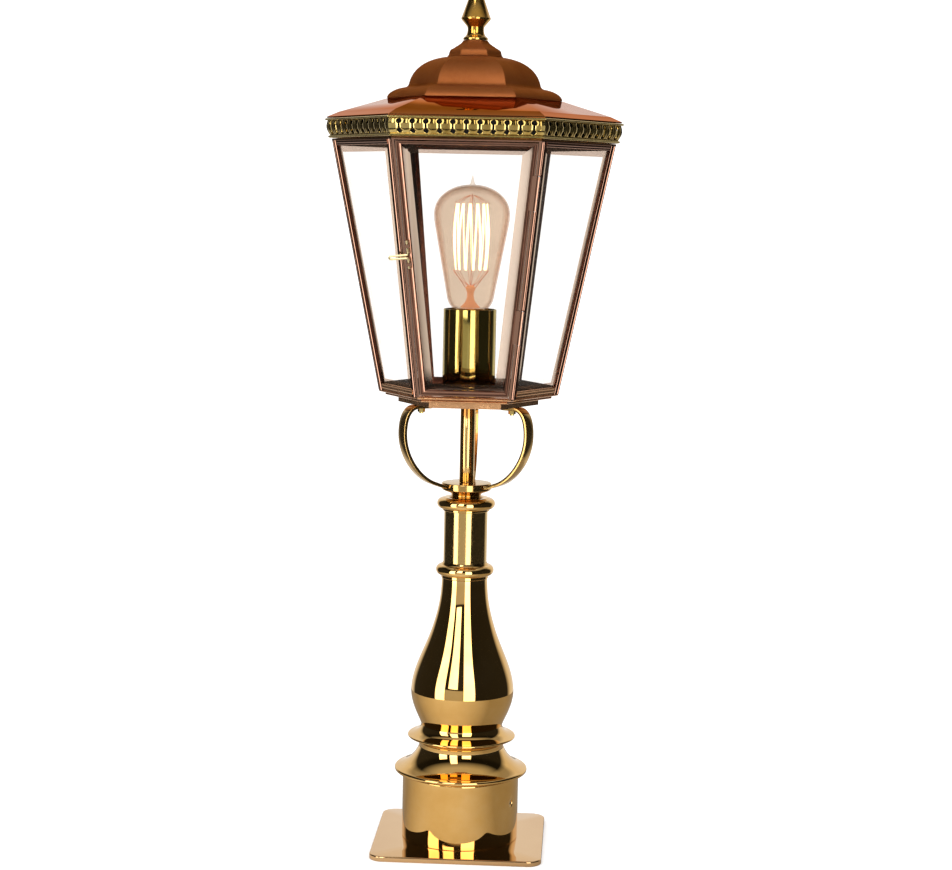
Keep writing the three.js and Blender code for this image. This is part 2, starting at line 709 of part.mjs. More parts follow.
const catchFrame = edgeFrame(-1, CATCH.side, CATCH.z, CATCH.out);
add("door_catch", catchWire(), "brass", catchFrame);
KEEPER.places.forEach((place, index) => {
  const name = ["catch_keeper_lower", "catch_keeper_upper"][index];
  add(name, keeper().translate(0, place, 0), "copper", catchFrame);
});

// ---------- gallery, roof and finial ----------

function gallery() {
  const { bottom, top, lip, waist, belly, wall } = GALLERY;
  const outer = outline(3, (path) => {
    path.moveTo(waist - 0.6, bottom);
    path.lineTo(waist + 1, bottom + 0.8);
    path.lineTo(waist + 1, bottom + 2.4);
    path.lineTo(waist, bottom + 3.4);
    path.bezierCurveTo(belly, bottom + 6, belly + 0.4, bottom + 10, belly - 0.4, top - 3);
    path.lineTo(lip, top - 1.6);
    path.lineTo(lip, top);
  });
  const inner = [
    at(lip - wall - 0.6, top),
    at(belly - wall, top - 4),
    at(waist - wall, bottom + 3.4),
    at(waist - wall, bottom),
  ];
  return hexagonal([...outer, ...inner]);
}

function roofSkirt() {
  const { bottom, eaves, break: edge, breakZ, top, corner } = SKIRT;
  return hexagonal([
    at(eaves, bottom),
    at(eaves - 0.4, bottom + 1.2),
    at(edge, breakZ),
    at(corner, top),
    at(corner - 4, top),
    at(corner - 4, top - 1),
    at(edge - 1.5, breakZ - 1.5),
    at(eaves - 5, bottom + 1.2),
    at(eaves - 5, bottom),
  ]);
}

function roofDome() {
  const { bottom, corner, shoulder, foot, top, cornerTop, hole, wall } = DOME;
  const outer = outline(6, (path) => {
    path.moveTo(corner, bottom);
    path.lineTo(corner, bottom + 1.2);
    path.bezierCurveTo(corner - 2, bottom + 5, shoulder + 6, 644, shoulder, 645.5);
    path.quadraticCurveTo(foot + 0.4, 646.5, foot, 649.5);
    path.bezierCurveTo(foot - 3, 660, foot - 13, top - 2.2, cornerTop, top);
    path.lineTo(hole, top);
  });
  const inner = outline(5, (path) => {
    path.moveTo(hole, top - wall);
    path.lineTo(cornerTop, top - wall);
    path.bezierCurveTo(foot - 15, top - 4, foot - 5.4, 658, foot - wall - 0.6, 647);
    path.lineTo(shoulder - 1, 643);
    path.bezierCurveTo(shoulder + 5, 641.5, corner - 6, bottom + 3.6, corner - wall - 1, bottom);
  });
  return hexagonal([...outer, ...inner]);
}

function roofCap() {
  const outer = outline(4, (path) => {
    path.moveTo(CAP.corner, CAP.bottom);
    path.quadraticCurveTo(22.3, 672.4, 21.9, 675);
    path.bezierCurveTo(21.3, 677.5, 19.4, 677.5, 18.1, 678.5);
    path.bezierCurveTo(15.6, 680.5, 11.5, 682, CAP.cornerTop, CAP.top);
  });
  return hexagonal(bored(outer, 2.8));
}

function finial() {
  const { bottom, foot, neck, edge, edgeZ, top } = FINIAL;
  const outer = outline(3, (path) => {
    path.moveTo(0, bottom);
    path.lineTo(foot, bottom);
    path.quadraticCurveTo(foot + 0.3, bottom + 1.6, foot - 1, bottom + 2.4);
    path.bezierCurveTo(neck, bottom + 4, neck - 0.6, bottom + 9, neck + 0.4, bottom + 11);
    path.lineTo(edge - 0.4, edgeZ - 1.2);
    path.lineTo(edge, edgeZ);
    path.bezierCurveTo(edge - 3, edgeZ + 4, 8.4, edgeZ + 11, 6.2, edgeZ + 17);
    path.lineTo(1, top - 0.6);
    path.lineTo(0, top);
  });
  return cut(revolve(outer, 24), rod(2.3, bottom - 1, bottom + 8));
}

add("gallery", gallery(), "antique");
add("roof_skirt", roofSkirt(), "roof");
add("roof_dome", roofDome(), "roof");
add("roof_cap", roofCap(), "roof");
add("finial", finial(), "brass");

// ---------- lamp cup, lampholder and bulb ----------

function lampCup() {
  const inner = CUP.r - CUP.wall;
  const floorTop = CUP.bottom + CUP.floor;
  return revolve([
    at(BORE, CUP.bottom),
    at(CUP.r, CUP.bottom),
    at(CUP.r, CUP.top),
    at(inner, CUP.top),
    at(inner, floorTop),
    at(BORE, floorTop),
  ]);
}

function lampholder() {
  const { r, bottom, top, bore, seat } = HOLDER;
  return revolve([at(0, bottom), at(r, bottom), at(r, top), at(bore, top), at(bore, seat), at(0, seat)]);
}

function bulbCap() {
  const { r, contact, bottom, skirt, top } = BULB_CAP;
  return revolve(
    [at(0, bottom), at(contact, bottom), at(contact + 1, bottom + 1.5), at(r, skirt), at(r, top), at(0, top)],
    24,
  );
}

function bulbGlass() {
  const { r, widest, neck, bottom, dome, tip, wall } = BULB;
  const outer = outline(4, (path) => {
    path.moveTo(neck, bottom);
    path.bezierCurveTo(17.2, 463.5, 19.6, 467, 20.4, 474);
    path.lineTo(31.2, 532);
    path.quadraticCurveTo(r, 537, r, widest);
    path.bezierCurveTo(r, 556, 17, dome, 2.4, dome + 0.4);
    path.quadraticCurveTo(1.4, dome + 2, 1.3, dome + 4);
    path.lineTo(0, tip);
  });
  const inner = outline(4, (path) => {
    path.moveTo(0, dome - wall);
    path.bezierCurveTo(16.4, dome - wall, r - wall, 555, r - wall, widest);
    path.quadraticCurveTo(r - wall, 537, 31.2 - wall, 532);
    path.lineTo(20.4 - wall, 474);
    path.bezierCurveTo(19.6 - wall, 467, 17.2 - wall, 463.5, neck - wall - 0.4, bottom);
  });
  return revolve([...outer, ...inner], 24);
}

// The glass foot with its lead wires, and the filament run up and down round a cage.
function bulbFilament() {
  const { r, bottom, top, wire, runs } = FILAMENT;
  const foot = revolve(
    outline(4, (path) => {
      path.moveTo(0, BULB.bottom + 0.4);
      path.lineTo(10, BULB.bottom + 0.4);
      path.bezierCurveTo(8, 467, 5, 468, 4.4, 474);
      path.lineTo(3.4, 481);
      path.lineTo(0, 482);
    }),
    SMALL_SIDES,
  );
  const corner = (i) => {
    const angle = (2 * Math.PI * i) / runs;
    return new THREE.Vector3(r * Math.cos(angle), r * Math.sin(angle), 0);
  };
  const bar = (from, to) => {
    const along = to.clone().sub(from);
    const length = along.length();
    const spin = new THREE.Quaternion();
    spin.setFromUnitVectors(new THREE.Vector3(0, 0, 1), along.normalize());
    return rod(wire, -wire * 0.6, length + wire * 0.6, 4)
      .applyQuaternion(spin)
      .translate(from.x, from.y, from.z);
  };
  const lift = (point, z) => point.clone().setZ(z);
  const pieces = [foot];
  for (let i = 0; i < runs; i += 1) {
    pieces.push(bar(lift(corner(i), bottom), lift(corner(i), top)));
    const level = i % 2 ? top : bottom;
    if (i < runs - 1) pieces.push(bar(lift(corner(i), level), lift(corner(i + 1), level)));
  }
  const topOfFoot = new THREE.Vector3(0, 0, 479);
  pieces.push(bar(topOfFoot, lift(corner(0), bottom)));
  pieces.push(bar(topOfFoot, lift(corner(runs / 2), bottom)));
  return join(...pieces);
}

add("cup_washer", tube(WASHER.r, BORE, WASHER.bottom, WASHER.top), "brass");
add("lamp_cup", lampCup(), "brass");
const cupNutBottom = CUP.bottom + CUP.floor + 0.2;
add("cup_nut", hexNut(NUT.r, BORE, cupNutBottom, cupNutBottom + NUT.thickness), "steel");
add("lampholder", lampholder(), "ceramic");
add("bulb_cap", bulbCap(), "brass");
add("bulb_glass", bulbGlass(), "amber");
add("bulb_filament", bulbFilament(), "glow");

export default lamp;
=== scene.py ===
import math

import bpy
import bmesh
import numpy as np
from mathutils import Matrix, Vector

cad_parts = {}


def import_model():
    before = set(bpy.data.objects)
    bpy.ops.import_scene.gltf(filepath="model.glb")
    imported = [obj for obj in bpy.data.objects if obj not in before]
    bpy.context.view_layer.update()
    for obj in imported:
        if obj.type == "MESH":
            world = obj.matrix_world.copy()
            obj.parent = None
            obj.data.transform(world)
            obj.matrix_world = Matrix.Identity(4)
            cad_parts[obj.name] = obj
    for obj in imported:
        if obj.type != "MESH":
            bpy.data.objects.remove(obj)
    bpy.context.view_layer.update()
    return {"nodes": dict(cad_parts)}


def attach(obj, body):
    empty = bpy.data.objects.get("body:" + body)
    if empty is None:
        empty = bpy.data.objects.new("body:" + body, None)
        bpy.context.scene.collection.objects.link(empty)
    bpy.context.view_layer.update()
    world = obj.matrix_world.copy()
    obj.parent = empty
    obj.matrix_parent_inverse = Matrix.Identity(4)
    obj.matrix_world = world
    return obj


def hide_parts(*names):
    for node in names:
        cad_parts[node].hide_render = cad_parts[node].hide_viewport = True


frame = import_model()

MM = 0.001
TAU = 2 * math.pi
# The azimuth of each face of the lantern, whose corners are at 0, 60, 120 degrees and so on.
FACES = {"front": 270, "right_front": 330, "right_back": 30,
         "back": 90, "left_back": 150, "left_front": 210}

# ---------- outlines ----------


def line(*points):
    return [tuple(map(float, p)) for p in points]


def curve(p0, p1, p2, p3, n):
    """Points of a cubic Bezier curve, its first point left out."""
    out = []
    for i in range(1, n + 1):
        t = i / n
        s = 1 - t
        out.append(tuple(s**3 * a + 3 * s * s * t * b + 3 * s * t * t * c + t**3 * d
                         for a, b, c, d in zip(p0, p1, p2, p3)))
    return out


def arc(cx, cz, rx, rz, a0, a1, n):
    """Points of an elliptical arc between two angles in degrees."""
    return [(cx + rx * math.cos(math.radians(a0 + (a1 - a0) * i / n)),
             cz + rz * math.sin(math.radians(a0 + (a1 - a0) * i / n))) for i in range(n + 1)]


# ---------- meshes ----------


def finish_mesh(name, verts, faces, smooth=35.0, bevel=0.0):
    """An object from points in millimetres, with smooth faces, sharp edges and a bevel if asked for."""
    mesh = bpy.data.meshes.new(name)
    mesh.from_pydata([tuple(c * MM for c in v) for v in verts], [], faces)
    bm = bmesh.new()
    bm.from_mesh(mesh)
    bmesh.ops.remove_doubles(bm, verts=bm.verts, dist=1e-6)
    bmesh.ops.dissolve_degenerate(bm, edges=bm.edges, dist=1e-7)
    bmesh.ops.recalc_face_normals(bm, faces=bm.faces)
    bm.to_mesh(mesh)
    bm.free()
    for p in mesh.polygons:
        p.use_smooth = True
    mesh.set_sharp_from_angle(angle=math.radians(smooth))
    obj = bpy.data.objects.new(name, mesh)
    bpy.context.scene.collection.objects.link(obj)
    if bevel:
        mod = obj.modifiers.new("edges", "BEVEL")
        mod.width = bevel * MM
        mod.segments = 2
        mod.limit_method = "ANGLE"
        mod.angle_limit = math.radians(28)
        mod.harden_normals = True
    return obj


def lathe(name, profile, sides=128, smooth=35.0, bevel=0.0):
    """A closed (radius, height) profile turned about Z; points on the axis make a pole."""
    verts, faces, n = [], [], len(profile)
    for r, z in profile:
        for k in range(sides):
            a = TAU * k / sides
            verts.append((r * math.cos(a), r * math.sin(a), z))
    for i in range(n):
        j = (i + 1) % n
        if max(profile[i][0], profile[j][0]) < 1e-6:
            continue
        for k in range(sides):
            m = (k + 1) % sides
            faces.append((i * sides + k, i * sides + m, j * sides + m, j * sides + k))
    return finish_mesh(name, verts, faces, smooth, bevel)


def hexagon(name, profile, smooth=25.0, bevel=0.35):
    """A closed (radius, height) profile carried round the six corners of the lantern."""
    return lathe(name, profile, 6, smooth, bevel)


def quads(name, rings, closed_section=True, smooth=25):
    """Joins rings of equally many points into a skin; each ring is closed, and so is the section."""
    verts = [p for ring in rings for p in ring]
    n, m, faces = len(rings), len(rings[0]), []
    for i in range(n if closed_section else n - 1):
        j = (i + 1) % n
        for k in range(m):
            q = (k + 1) % m
            faces.append((i * m + k, i * m + q, j * m + q, j * m + k))
    if not closed_section:
        faces += [tuple(reversed(range(m))), tuple((n - 1) * m + k for k in range(m))]
    return finish_mesh(name, verts, faces, smooth)


def sweep(name, path, section, up):
    """A section of (side, up) points carried along a path of 3-D points, ends capped."""
    points = [Vector(p) for p in path]
    last = len(points) - 1
    normal = Vector(up)
    rings = []
    for i, p in enumerate(points):
        along = (points[min(i + 1, last)] - points[max(i - 1, 0)]).normalized()
        normal = (normal - along * normal.dot(along)).normalized()
        side = along.cross(normal)
        rings.append([tuple(p + side * s + normal * u) for s, u in section])
    return quads(name, rings, closed_section=False, smooth=35)


def disc_section(r, n):
    return [(r * math.cos(TAU * k / n), r * math.sin(TAU * k / n)) for k in range(n)]


def rounded_box_section(w, h, r, n=4):
    out = []
    for cx, cy, a0 in ((w / 2 - r, h / 2 - r, 0), (r - w / 2, h / 2 - r, 90),
                       (r - w / 2, r - h / 2, 180), (w / 2 - r, r - h / 2, 270)):
        out += [(cx + r * math.cos(math.radians(a0 + 90 * i / n)),
                 cy + r * math.sin(math.radians(a0 + 90 * i / n))) for i in range(n + 1)]
    return out


def joined(name, objects):
    """One object from several whose modifiers are applied first."""
    depsgraph = bpy.context.evaluated_depsgraph_get()
    bm = bmesh.new()
    for o in objects:
        o.update_tag()
    depsgraph.update()
    for o in objects:
        mesh = bpy.data.meshes.new_from_object(o.evaluated_get(depsgraph))
        mesh.transform(o.matrix_world)
        bm.from_mesh(mesh)
        bpy.data.meshes.remove(mesh)
    out = bpy.data.meshes.new(name)
    bm.to_mesh(out)
    bm.free()
    for o in objects:
        bpy.data.objects.remove(o)
    obj = bpy.data.objects.new(name, out)
    bpy.context.scene.collection.objects.link(obj)
    return obj


def place(obj, matrix):
    obj.data.transform(matrix)
    return obj


def turned(degrees, axis="Z"):
    return Matrix.Rotation(math.radians(degrees), 4, axis)


def moved(x, y, z):
    """A shift in millimetres."""
    return Matrix.Translation(Vector((x, y, z)) * MM)


# ---------- materials ----------


class Nodes:
    """A short way to write node trees."""

    def __init__(self, name):
        self.mat = bpy.data.materials.new(name)
        self.mat.use_nodes = True
        self.tree = self.mat.node_tree
        self.tree.nodes.clear()
        self.out = self.add("ShaderNodeOutputMaterial")
        self.bsdf = self.add("ShaderNodeBsdfPrincipled")
        self.link(self.bsdf.outputs[0], self.out.inputs[0])
        self.coord = self.add("ShaderNodeTexCoord").outputs["Object"]

    def add(self, kind, **values):
        node = self.tree.nodes.new(kind)
        for key, value in values.items():
            setattr(node, key, value)
        return node

    def link(self, a, b):
        self.tree.links.new(a, b)

    def scaled(self, x, y, z):
        node = self.add("ShaderNodeMapping")
        node.inputs["Scale"].default_value = (x, y, z)
        self.link(self.coord, node.inputs["Vector"])
        return node.outputs[0]

    def noise(self, scale, detail=4.0, rough=0.55, stretch=(1, 1, 1)):
        node = self.add("ShaderNodeTexNoise")
        node.inputs["Scale"].default_value = scale
        node.inputs["Detail"].default_value = detail
        node.inputs["Roughness"].default_value = rough
        self.link(self.scaled(*stretch), node.inputs["Vector"])
        return node.outputs["Fac"]

    def ramp(self, fac, *stops):
        node = self.add("ShaderNodeValToRGB")
        while len(node.color_ramp.elements) < len(stops):
            node.color_ramp.elements.new(0.5)
        for element, (position, colour) in zip(node.color_ramp.elements, stops):
            element.position = position
            element.color = (*colour, 1)
        self.link(fac, node.inputs[0])
        return node.outputs[0]

    def span(self, fac, a, b, low, high):
        """A value stretched from a..b to low..high."""
        node = self.add("ShaderNodeMapRange")
        for key, value in (("From Min", a), ("From Max", b), ("To Min", low), ("To Max", high)):
            node.inputs[key].default_value = value
        self.link(fac, node.inputs[0])
        return node.outputs[0]

    def mix(self, fac, socket, colour):
        """A socket's colour, turning into a fixed colour where the factor is high."""
        node = self.add("ShaderNodeMix", data_type="RGBA")
        self.link(fac, node.inputs[0])
        self.link(socket, node.inputs[6])
        node.inputs[7].default_value = (*colour, 1)
        return node.outputs[2]

    def bump(self, height, strength, distance):
        node = self.add("ShaderNodeBump")
        node.inputs["Strength"].default_value = strength
        node.inputs["Distance"].default_value = distance
        self.link(height, node.inputs["Height"])
        self.link(node.outputs[0], self.bsdf.inputs["Normal"])

    def edge_wear(self):
        geo = self.add("ShaderNodeNewGeometry")
        return self.span(geo.outputs["Pointiness"], 0.5, 0.56, 0.0, 1.0)


def srgb(r, g, b):
    """An 8-bit sRGB colour as linear light."""
    shares = (c / 255 for c in (r, g, b))
    return tuple(c / 12.92 if c <= 0.04045 else ((c + 0.055) / 1.055) ** 2.4 for c in shares)


def dimmed(colour, share):
    return tuple(c * share for c in colour)


def metal(name, main, dark, light, rough, spread, ripple, grain=(1, 1, 1), tarnish=0.0,
          edge=(1, 1, 1)):
    """Polished or aged sheet metal: cloudy colour, uneven polish, hairlines and slight waves.

    The three colours are sRGB. Roughness runs from rough to rough + spread, ripple is the depth
    of the waves in metres, grain stretches the hairlines, and edge tints grazing reflections.
    """
    m = Nodes(name)
    main, dark, light = srgb(*main), srgb(*dark), srgb(*light)
    clouds = m.noise(22, 5, 0.6)
    colour = m.ramp(clouds, (0.3, dark), (0.5, main), (0.72, light))
    if tarnish:
        spots = m.noise(140, 6, 0.7)
        colour = m.mix(m.span(spots, 0.55, 0.72, 0.0, tarnish), colour, dimmed(dark, 0.35))
    m.link(m.mix(m.edge_wear(), colour, light), m.bsdf.inputs["Base Color"])
    m.bsdf.inputs["Metallic"].default_value = 1.0
    m.bsdf.inputs["Specular Tint"].default_value = (*edge, 1)
    hair = m.noise(380, 3, 0.7, grain)
    smear = m.noise(35, 4, 0.6)
    marks = m.add("ShaderNodeMath", operation="MULTIPLY")
    m.link(hair, marks.inputs[0])
    m.link(smear, marks.inputs[1])
    polish = m.span(marks.outputs[0], 0.12, 0.42, rough, rough + spread)
    m.link(polish, m.bsdf.inputs["Roughness"])
    wave = m.noise(28, 2, 0.4)
    relief = m.add("ShaderNodeMath", operation="MULTIPLY_ADD")
    m.link(hair, relief.inputs[0])
    relief.inputs[1].default_value = 0.02
    m.link(wave, relief.inputs[2])
    m.bump(relief.outputs[0], 1.0, ripple)
    return m.mat


def glass(name, tint, body, least, most, rough=0.02, marks=0.02, clear_below=None):
    """Tinted clear glass: what is behind shows through the tint, and the rim turns denser.

    The sRGB body colour covers a share of the glass that grows from least, seen face on, to most,
    seen edge on. Below the height clear_below, in metres, the body fades away.
    """
    m = Nodes(name)
    body = srgb(*body)
    smear = m.noise(18, 5, 0.6)
    m.link(m.ramp(smear, (0.3, dimmed(body, 0.9)), (0.7, body)), m.bsdf.inputs["Base Color"])
    m.link(m.span(smear, 0.3, 0.7, rough, rough + marks), m.bsdf.inputs["Roughness"])
    m.bump(m.noise(60, 2), 0.3, 0.00002)
    clear = m.add("ShaderNodeBsdfTransparent")
    m.link(m.ramp(smear, (0.3, dimmed(tint, 0.96)), (0.7, tint)), clear.inputs[0])
    weight = m.add("ShaderNodeLayerWeight")
    weight.inputs["Blend"].default_value = 0.35
    share = m.span(weight.outputs["Facing"], 0.3, 1.0, least, most)
    if clear_below:
        fade_height, lowest_share = 0.012, 0.05
        split = m.add("ShaderNodeSeparateXYZ")
        fade = m.add("ShaderNodeMath", operation="MULTIPLY")
        m.link(m.coord, split.inputs[0])
        rising = m.span(split.outputs[2], clear_below, clear_below + fade_height, lowest_share, 1.0)
        m.link(rising, fade.inputs[0])
        m.link(share, fade.inputs[1])
        share = fade.outputs[0]
    both = m.add("ShaderNodeMixShader")
    m.link(share, both.inputs[0])
    m.link(clear.outputs[0], both.inputs[1])
    m.link(m.bsdf.outputs[0], both.inputs[2])
    m.link(both.outputs[0], m.out.inputs[0])
    return m.mat


def plain(name, light, dark, rough, scale, depth):
    """A blotchy, slightly bumpy surface between two sRGB colours."""
    m = Nodes(name)
    spots = m.noise(scale, 5, 0.6)
    m.link(m.ramp(spots, (0.3, srgb(*dark)), (0.7, srgb(*light))), m.bsdf.inputs["Base Color"])
    m.link(m.span(spots, 0.3, 0.7, rough, rough + 0.15), m.bsdf.inputs["Roughness"])
    m.bump(m.noise(scale * 8, 3), 0.5, depth)
    return m.mat


def glow(name, colour, strength):
    """Something that gives off a little light of its own, unevenly."""
    m = Nodes(name)
    colour = srgb(*colour)
    flicker = m.noise(90, 2)
    m.link(m.ramp(flicker, (0.3, dimmed(colour, 0.8)), (0.7, colour)), m.bsdf.inputs["Base Color"])
    m.link(m.ramp(flicker, (0.3, dimmed(colour, 0.85)), (0.7, colour)),
           m.bsdf.inputs["Emission Color"])
    m.bsdf.inputs["Emission Strength"].default_value = strength
    m.bsdf.inputs["Roughness"].default_value = 0.5
    m.bump(m.noise(400, 2), 0.4, 0.00002)
    return m.mat


# Brass: bright where it is polished, greener in the cup and the gallery, redder on the plate.
BRASS = metal("polished_brass", (231, 185, 110), (221, 173, 96), (239, 198, 130),
              0.01, 0.03, 0.00003)
PLATE_BRASS = metal("plate_brass", (217, 174, 122), (207, 162, 108), (226, 187, 138),
                    0.02, 0.05, 0.00005)
SATIN_BRASS = metal("satin_brass", (202, 162, 94), (184, 144, 78), (218, 182, 116),
                    0.09, 0.1, 0.00003, grain=(0.2, 0.2, 9))
CUP_BRASS = metal("cup_brass", (194, 172, 90), (176, 152, 72), (212, 192, 114),
                  0.05, 0.06, 0.00003, grain=(9, 9, 0.3))
ANTIQUE = metal("antique_brass", (176, 146, 76), (136, 108, 48), (214, 190, 120),
                0.07, 0.1, 0.00005, tarnish=0.5)
SPIKE_BRASS = metal("spike_brass", (197, 150, 68), (170, 124, 48), (218, 176, 98),
                    0.1, 0.12, 0.00004)
CATCH_BRASS = metal("catch_brass", (214, 194, 132), (170, 148, 84), (236, 220, 170),
                    0.3, 0.15, 0.00003)
# Copper: dark on the posts, lighter on the rails, orange on the roof. The rails' lighter copy is painted
# light for the floor they face, and the inside's darker copy is painted shade.
COPPER = metal("dark_copper", (124, 86, 70), (96, 62, 48), (172, 132, 112),
               0.03, 0.07, 0.00003, tarnish=0.3)
LIT_RAIL_COPPER = metal("rail_copper_painted_light", (190, 130, 86), (154, 94, 58), (222, 170, 124),
                    0.16, 0.14, 0.00003, tarnish=0.3)
INSIDE_SHADE = metal("inside_copper_painted_shade", (60, 34, 25), (40, 21, 15), (92, 56, 43),
               0.25, 0.2, 0.00006, tarnish=0.5)
ROOF = metal("roof_copper", (170, 96, 44), (148, 72, 34), (194, 124, 76),
             0.02, 0.05, 0.00006, edge=(0.86, 0.5, 0.36))
DOME_COPPER = metal("dome_copper", (150, 88, 44), (128, 70, 34), (164, 100, 58),
                    0.58, 0.12, 0.0001, edge=(0.8, 0.5, 0.34))
# Everything that is neither.
STEEL = metal("zinc_steel", (160, 160, 158), (120, 120, 120), (205, 205, 204),
              0.25, 0.2, 0.00005, tarnish=0.3)
# The near-black sheet behind the gallery's openings is painted shade.
SHADE_BEHIND_HOLES = plain("painted_shade_behind_holes", (18, 11, 8), (8, 5, 4), 0.8, 90, 0.0001)
CERAMIC = plain("glazed_ceramic", (238, 234, 226), (214, 208, 196), 0.15, 60, 0.00005)
RUBBER = plain("black_rubber", (44, 42, 40), (20, 19, 18), 0.6, 200, 0.0001)
PANE = glass("pane_glass", (0.985, 0.98, 0.975), (236, 226, 218), 0.0, 0.1)
# The front and side panes' bevels are tinted with painted reflection, the beige bands that ground glass
# shows beside the frames; the side bevels' denser body, fading out near the foot, is painted too.
BEVEL = glass("pane_bevel_painted_reflection", (0.55, 0.44, 0.37), (168, 140, 116), 0.04, 0.3, 0.04, 0.04)
REFLECTING_SIDE_BEVEL = glass("side_bevel_painted_reflection", (0.55, 0.44, 0.37), (204, 180, 157), 0.7, 0.8, 0.1, 0.1,
                   clear_below=0.404)
CLEAR_BEVEL = glass("clear_bevel", (0.93, 0.91, 0.89), (226, 214, 202), 0.02, 0.2, 0.03, 0.03)
BULB_GLASS = glass("amber_glass", (0.9, 0.845, 0.785), (190, 120, 72), 0.01, 0.5)
# The stem and the lead wires are no lamps: their glow is painted light.
STEM_PAINTED_GLOW = glow("pinched_stem_painted_glow", (242, 180, 142), 0.5)
WIRE_PAINTED_GLOW = glow("lead_wire_painted_glow", (214, 120, 78), 0.3)
FILAMENT = glow("filament_glow", (255, 232, 186), 4.0)


def dress(obj, material, slot, *nodes, body="lamp"):
    """Gives a piece its material and body, and the CAD nodes that it replaces; its slot is not used."""
    obj.data.materials.clear()
    obj.data.materials.append(material)
    if nodes:
        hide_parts(*nodes)
    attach(obj, body)
    return obj


def darken_inside(obj, azimuths):
    """Gives the faces that look towards the lamp's middle the darker copper of the inside: painted shade.
    """
    obj.data.materials.append(INSIDE_SHADE)
    turned_in = -0.3
    outs = [Vector((math.cos(math.radians(a)), math.sin(math.radians(a)), 0)) for a in azimuths]
    for p in obj.data.polygons:
        middle = Vector((p.center.x, p.center.y, 0)).normalized()
        facing = max(outs, key=middle.dot)
        if p.normal.dot(facing) < turned_in:
            p.material_index = 1


# ---------- base ----------


def square_radius(angle, half, corner):
    """Distance from the middle to the edge of a rounded square, along an angle."""
    c, s = abs(math.cos(angle)), abs(math.sin(angle))
    inner = half - corner
    reach = half / max(c, s)
    x, y = reach * c, reach * s
    if x > inner and y > inner:
        dot = inner * (c + s)
        reach = dot + math.sqrt(max(dot * dot - 2 * inner * inner + corner * corner, 0))
    return reach


def plate():
    """A square plate with rounded corners and a stepped hole for the rod and its nut."""
    sides, half, corner = 320, 72.5, 12.0
    edge = [(0.4, 0.0), (0.0, 0.4), (0.0, 3.5), (0.12, 3.9), (0.35, 4.2), (0.7, 4.4), (1.2, 4.5)]
    hole = [(4.3, 4.5), (4.3, 3.0), (9.0, 3.0), (9.0, 0.0)]
    turns = [TAU * k / sides for k in range(sides)]
    radii = [([square_radius(a, half - inset, corner - inset) for a in turns], z) for inset, z in edge]
    radii += [([r] * sides, z) for r, z in hole]
    rings = [[(r * math.cos(a), r * math.sin(a), z) for r, a in zip(ring, turns)] for ring, z in radii]
    return quads("plate", rings, smooth=30)


dress(plate(), PLATE_BRASS, "polished_brass", "base_plate")


def drilled(obj, r, reach, azimuth, z, depth=12):
    """A round hole bored into the object along a radius."""
    tool = lathe("tool", [(0, reach - depth), (r, reach - depth), (r, reach + 4), (0, reach + 4)], 32)
    tool.data.transform(moved(0, 0, z) @ turned(azimuth) @ turned(90, "Y"))
    mod = obj.modifiers.new("hole", "BOOLEAN")
    mod.object = tool
    mod.operation = "DIFFERENCE"
    mod.solver = "EXACT"
    bpy.context.view_layer.update()
    deps = bpy.context.evaluated_depsgraph_get()
    mesh = bpy.data.meshes.new_from_object(obj.evaluated_get(deps))
    obj.modifiers.clear()
    old = obj.data
    obj.data = mesh
    bpy.data.meshes.remove(old)
    bpy.data.objects.remove(tool)
    return obj


drum_outline = (line((47, 4.7), (49.6, 4.7)) + arc(49.6, 5.1, 0.4, 0.4, -60, 0, 3)
                + [(50.0, 8.0 + 4 * k) for k in range(13)]
                + arc(49.5, 59.9, 0.5, 0.5, 0, 90, 4) + line((47, 60.4)))
SCREW_AZIMUTH, SCREW_Z = -26, 40
CABLE_AZIMUTH, CABLE_Z = 90, 16
drum = lathe("drum", drum_outline, 180)
drilled(drum, 2.4, 50, SCREW_AZIMUTH, SCREW_Z)
drilled(drum, 5.0, 50, CABLE_AZIMUTH, CABLE_Z)
dress(drum, BRASS, "polished_brass", "base_drum")

grommet_outline = (line((2.6, 42), (4.7, 42), (4.7, 50.3), (6.3, 50.3))
                   + arc(5.3, 51.3, 1.2, 1.0, -40, 90, 6) + line((2.6, 52.3)))
grommet = lathe("grommet", grommet_outline, 40)
place(grommet, moved(0, 0, CABLE_Z) @ turned(CABLE_AZIMUTH) @ turned(90, "Y"))
dress(grommet, RUBBER, "rubber", "cable_grommet")

grub_outline = line((0, 45), (2.1, 45), (2.1, 48.6), (1.8, 49), (1.0, 49), (1.0, 47), (0, 47))
grub = lathe("grub", grub_outline, 30)
place(grub, moved(0, 0, SCREW_Z) @ turned(SCREW_AZIMUTH) @ turned(90, "Y"))
dress(grub, STEEL, "steel", "drum_grub_screw")

# ---------- turned column ----------

BORE = 4.3
flange = (line((50, 60.7), (54.2, 61.6)) + curve((54.2, 61.6), (55.6, 61.9), (57.1, 62.6), (57.1, 64.1), 8)
          + curve((57.1, 64.1), (57.1, 65.5), (56.3, 65.8), (55.3, 66), 8)
          + curve((55.3, 66), (49.5, 67.6), (40.8, 72.6), (36.5, 83.7), 26)
          + line((BORE, 83.8), (BORE, 78), (32, 78), (34, 71), (46, 64), (46, 60.7)))
dress(lathe("flange", flange), BRASS, "polished_brass", "flange_collar")

saucer = (line((36.3, 84)) + curve((36.3, 84), (36.2, 89.8), (39, 91.4), (45.4, 92.25), 18)
          + arc(45.35, 93.15, 0.95, 0.9, -80, 80, 8)
          + curve((45.5, 94.05), (40.2, 95.2), (35.4, 97.4), (34.9, 102.8), 18)
          + line((30.4, 102.8), (30.4, 84)))
dress(lathe("saucer", saucer), BRASS, "polished_brass", "saucer_ring")

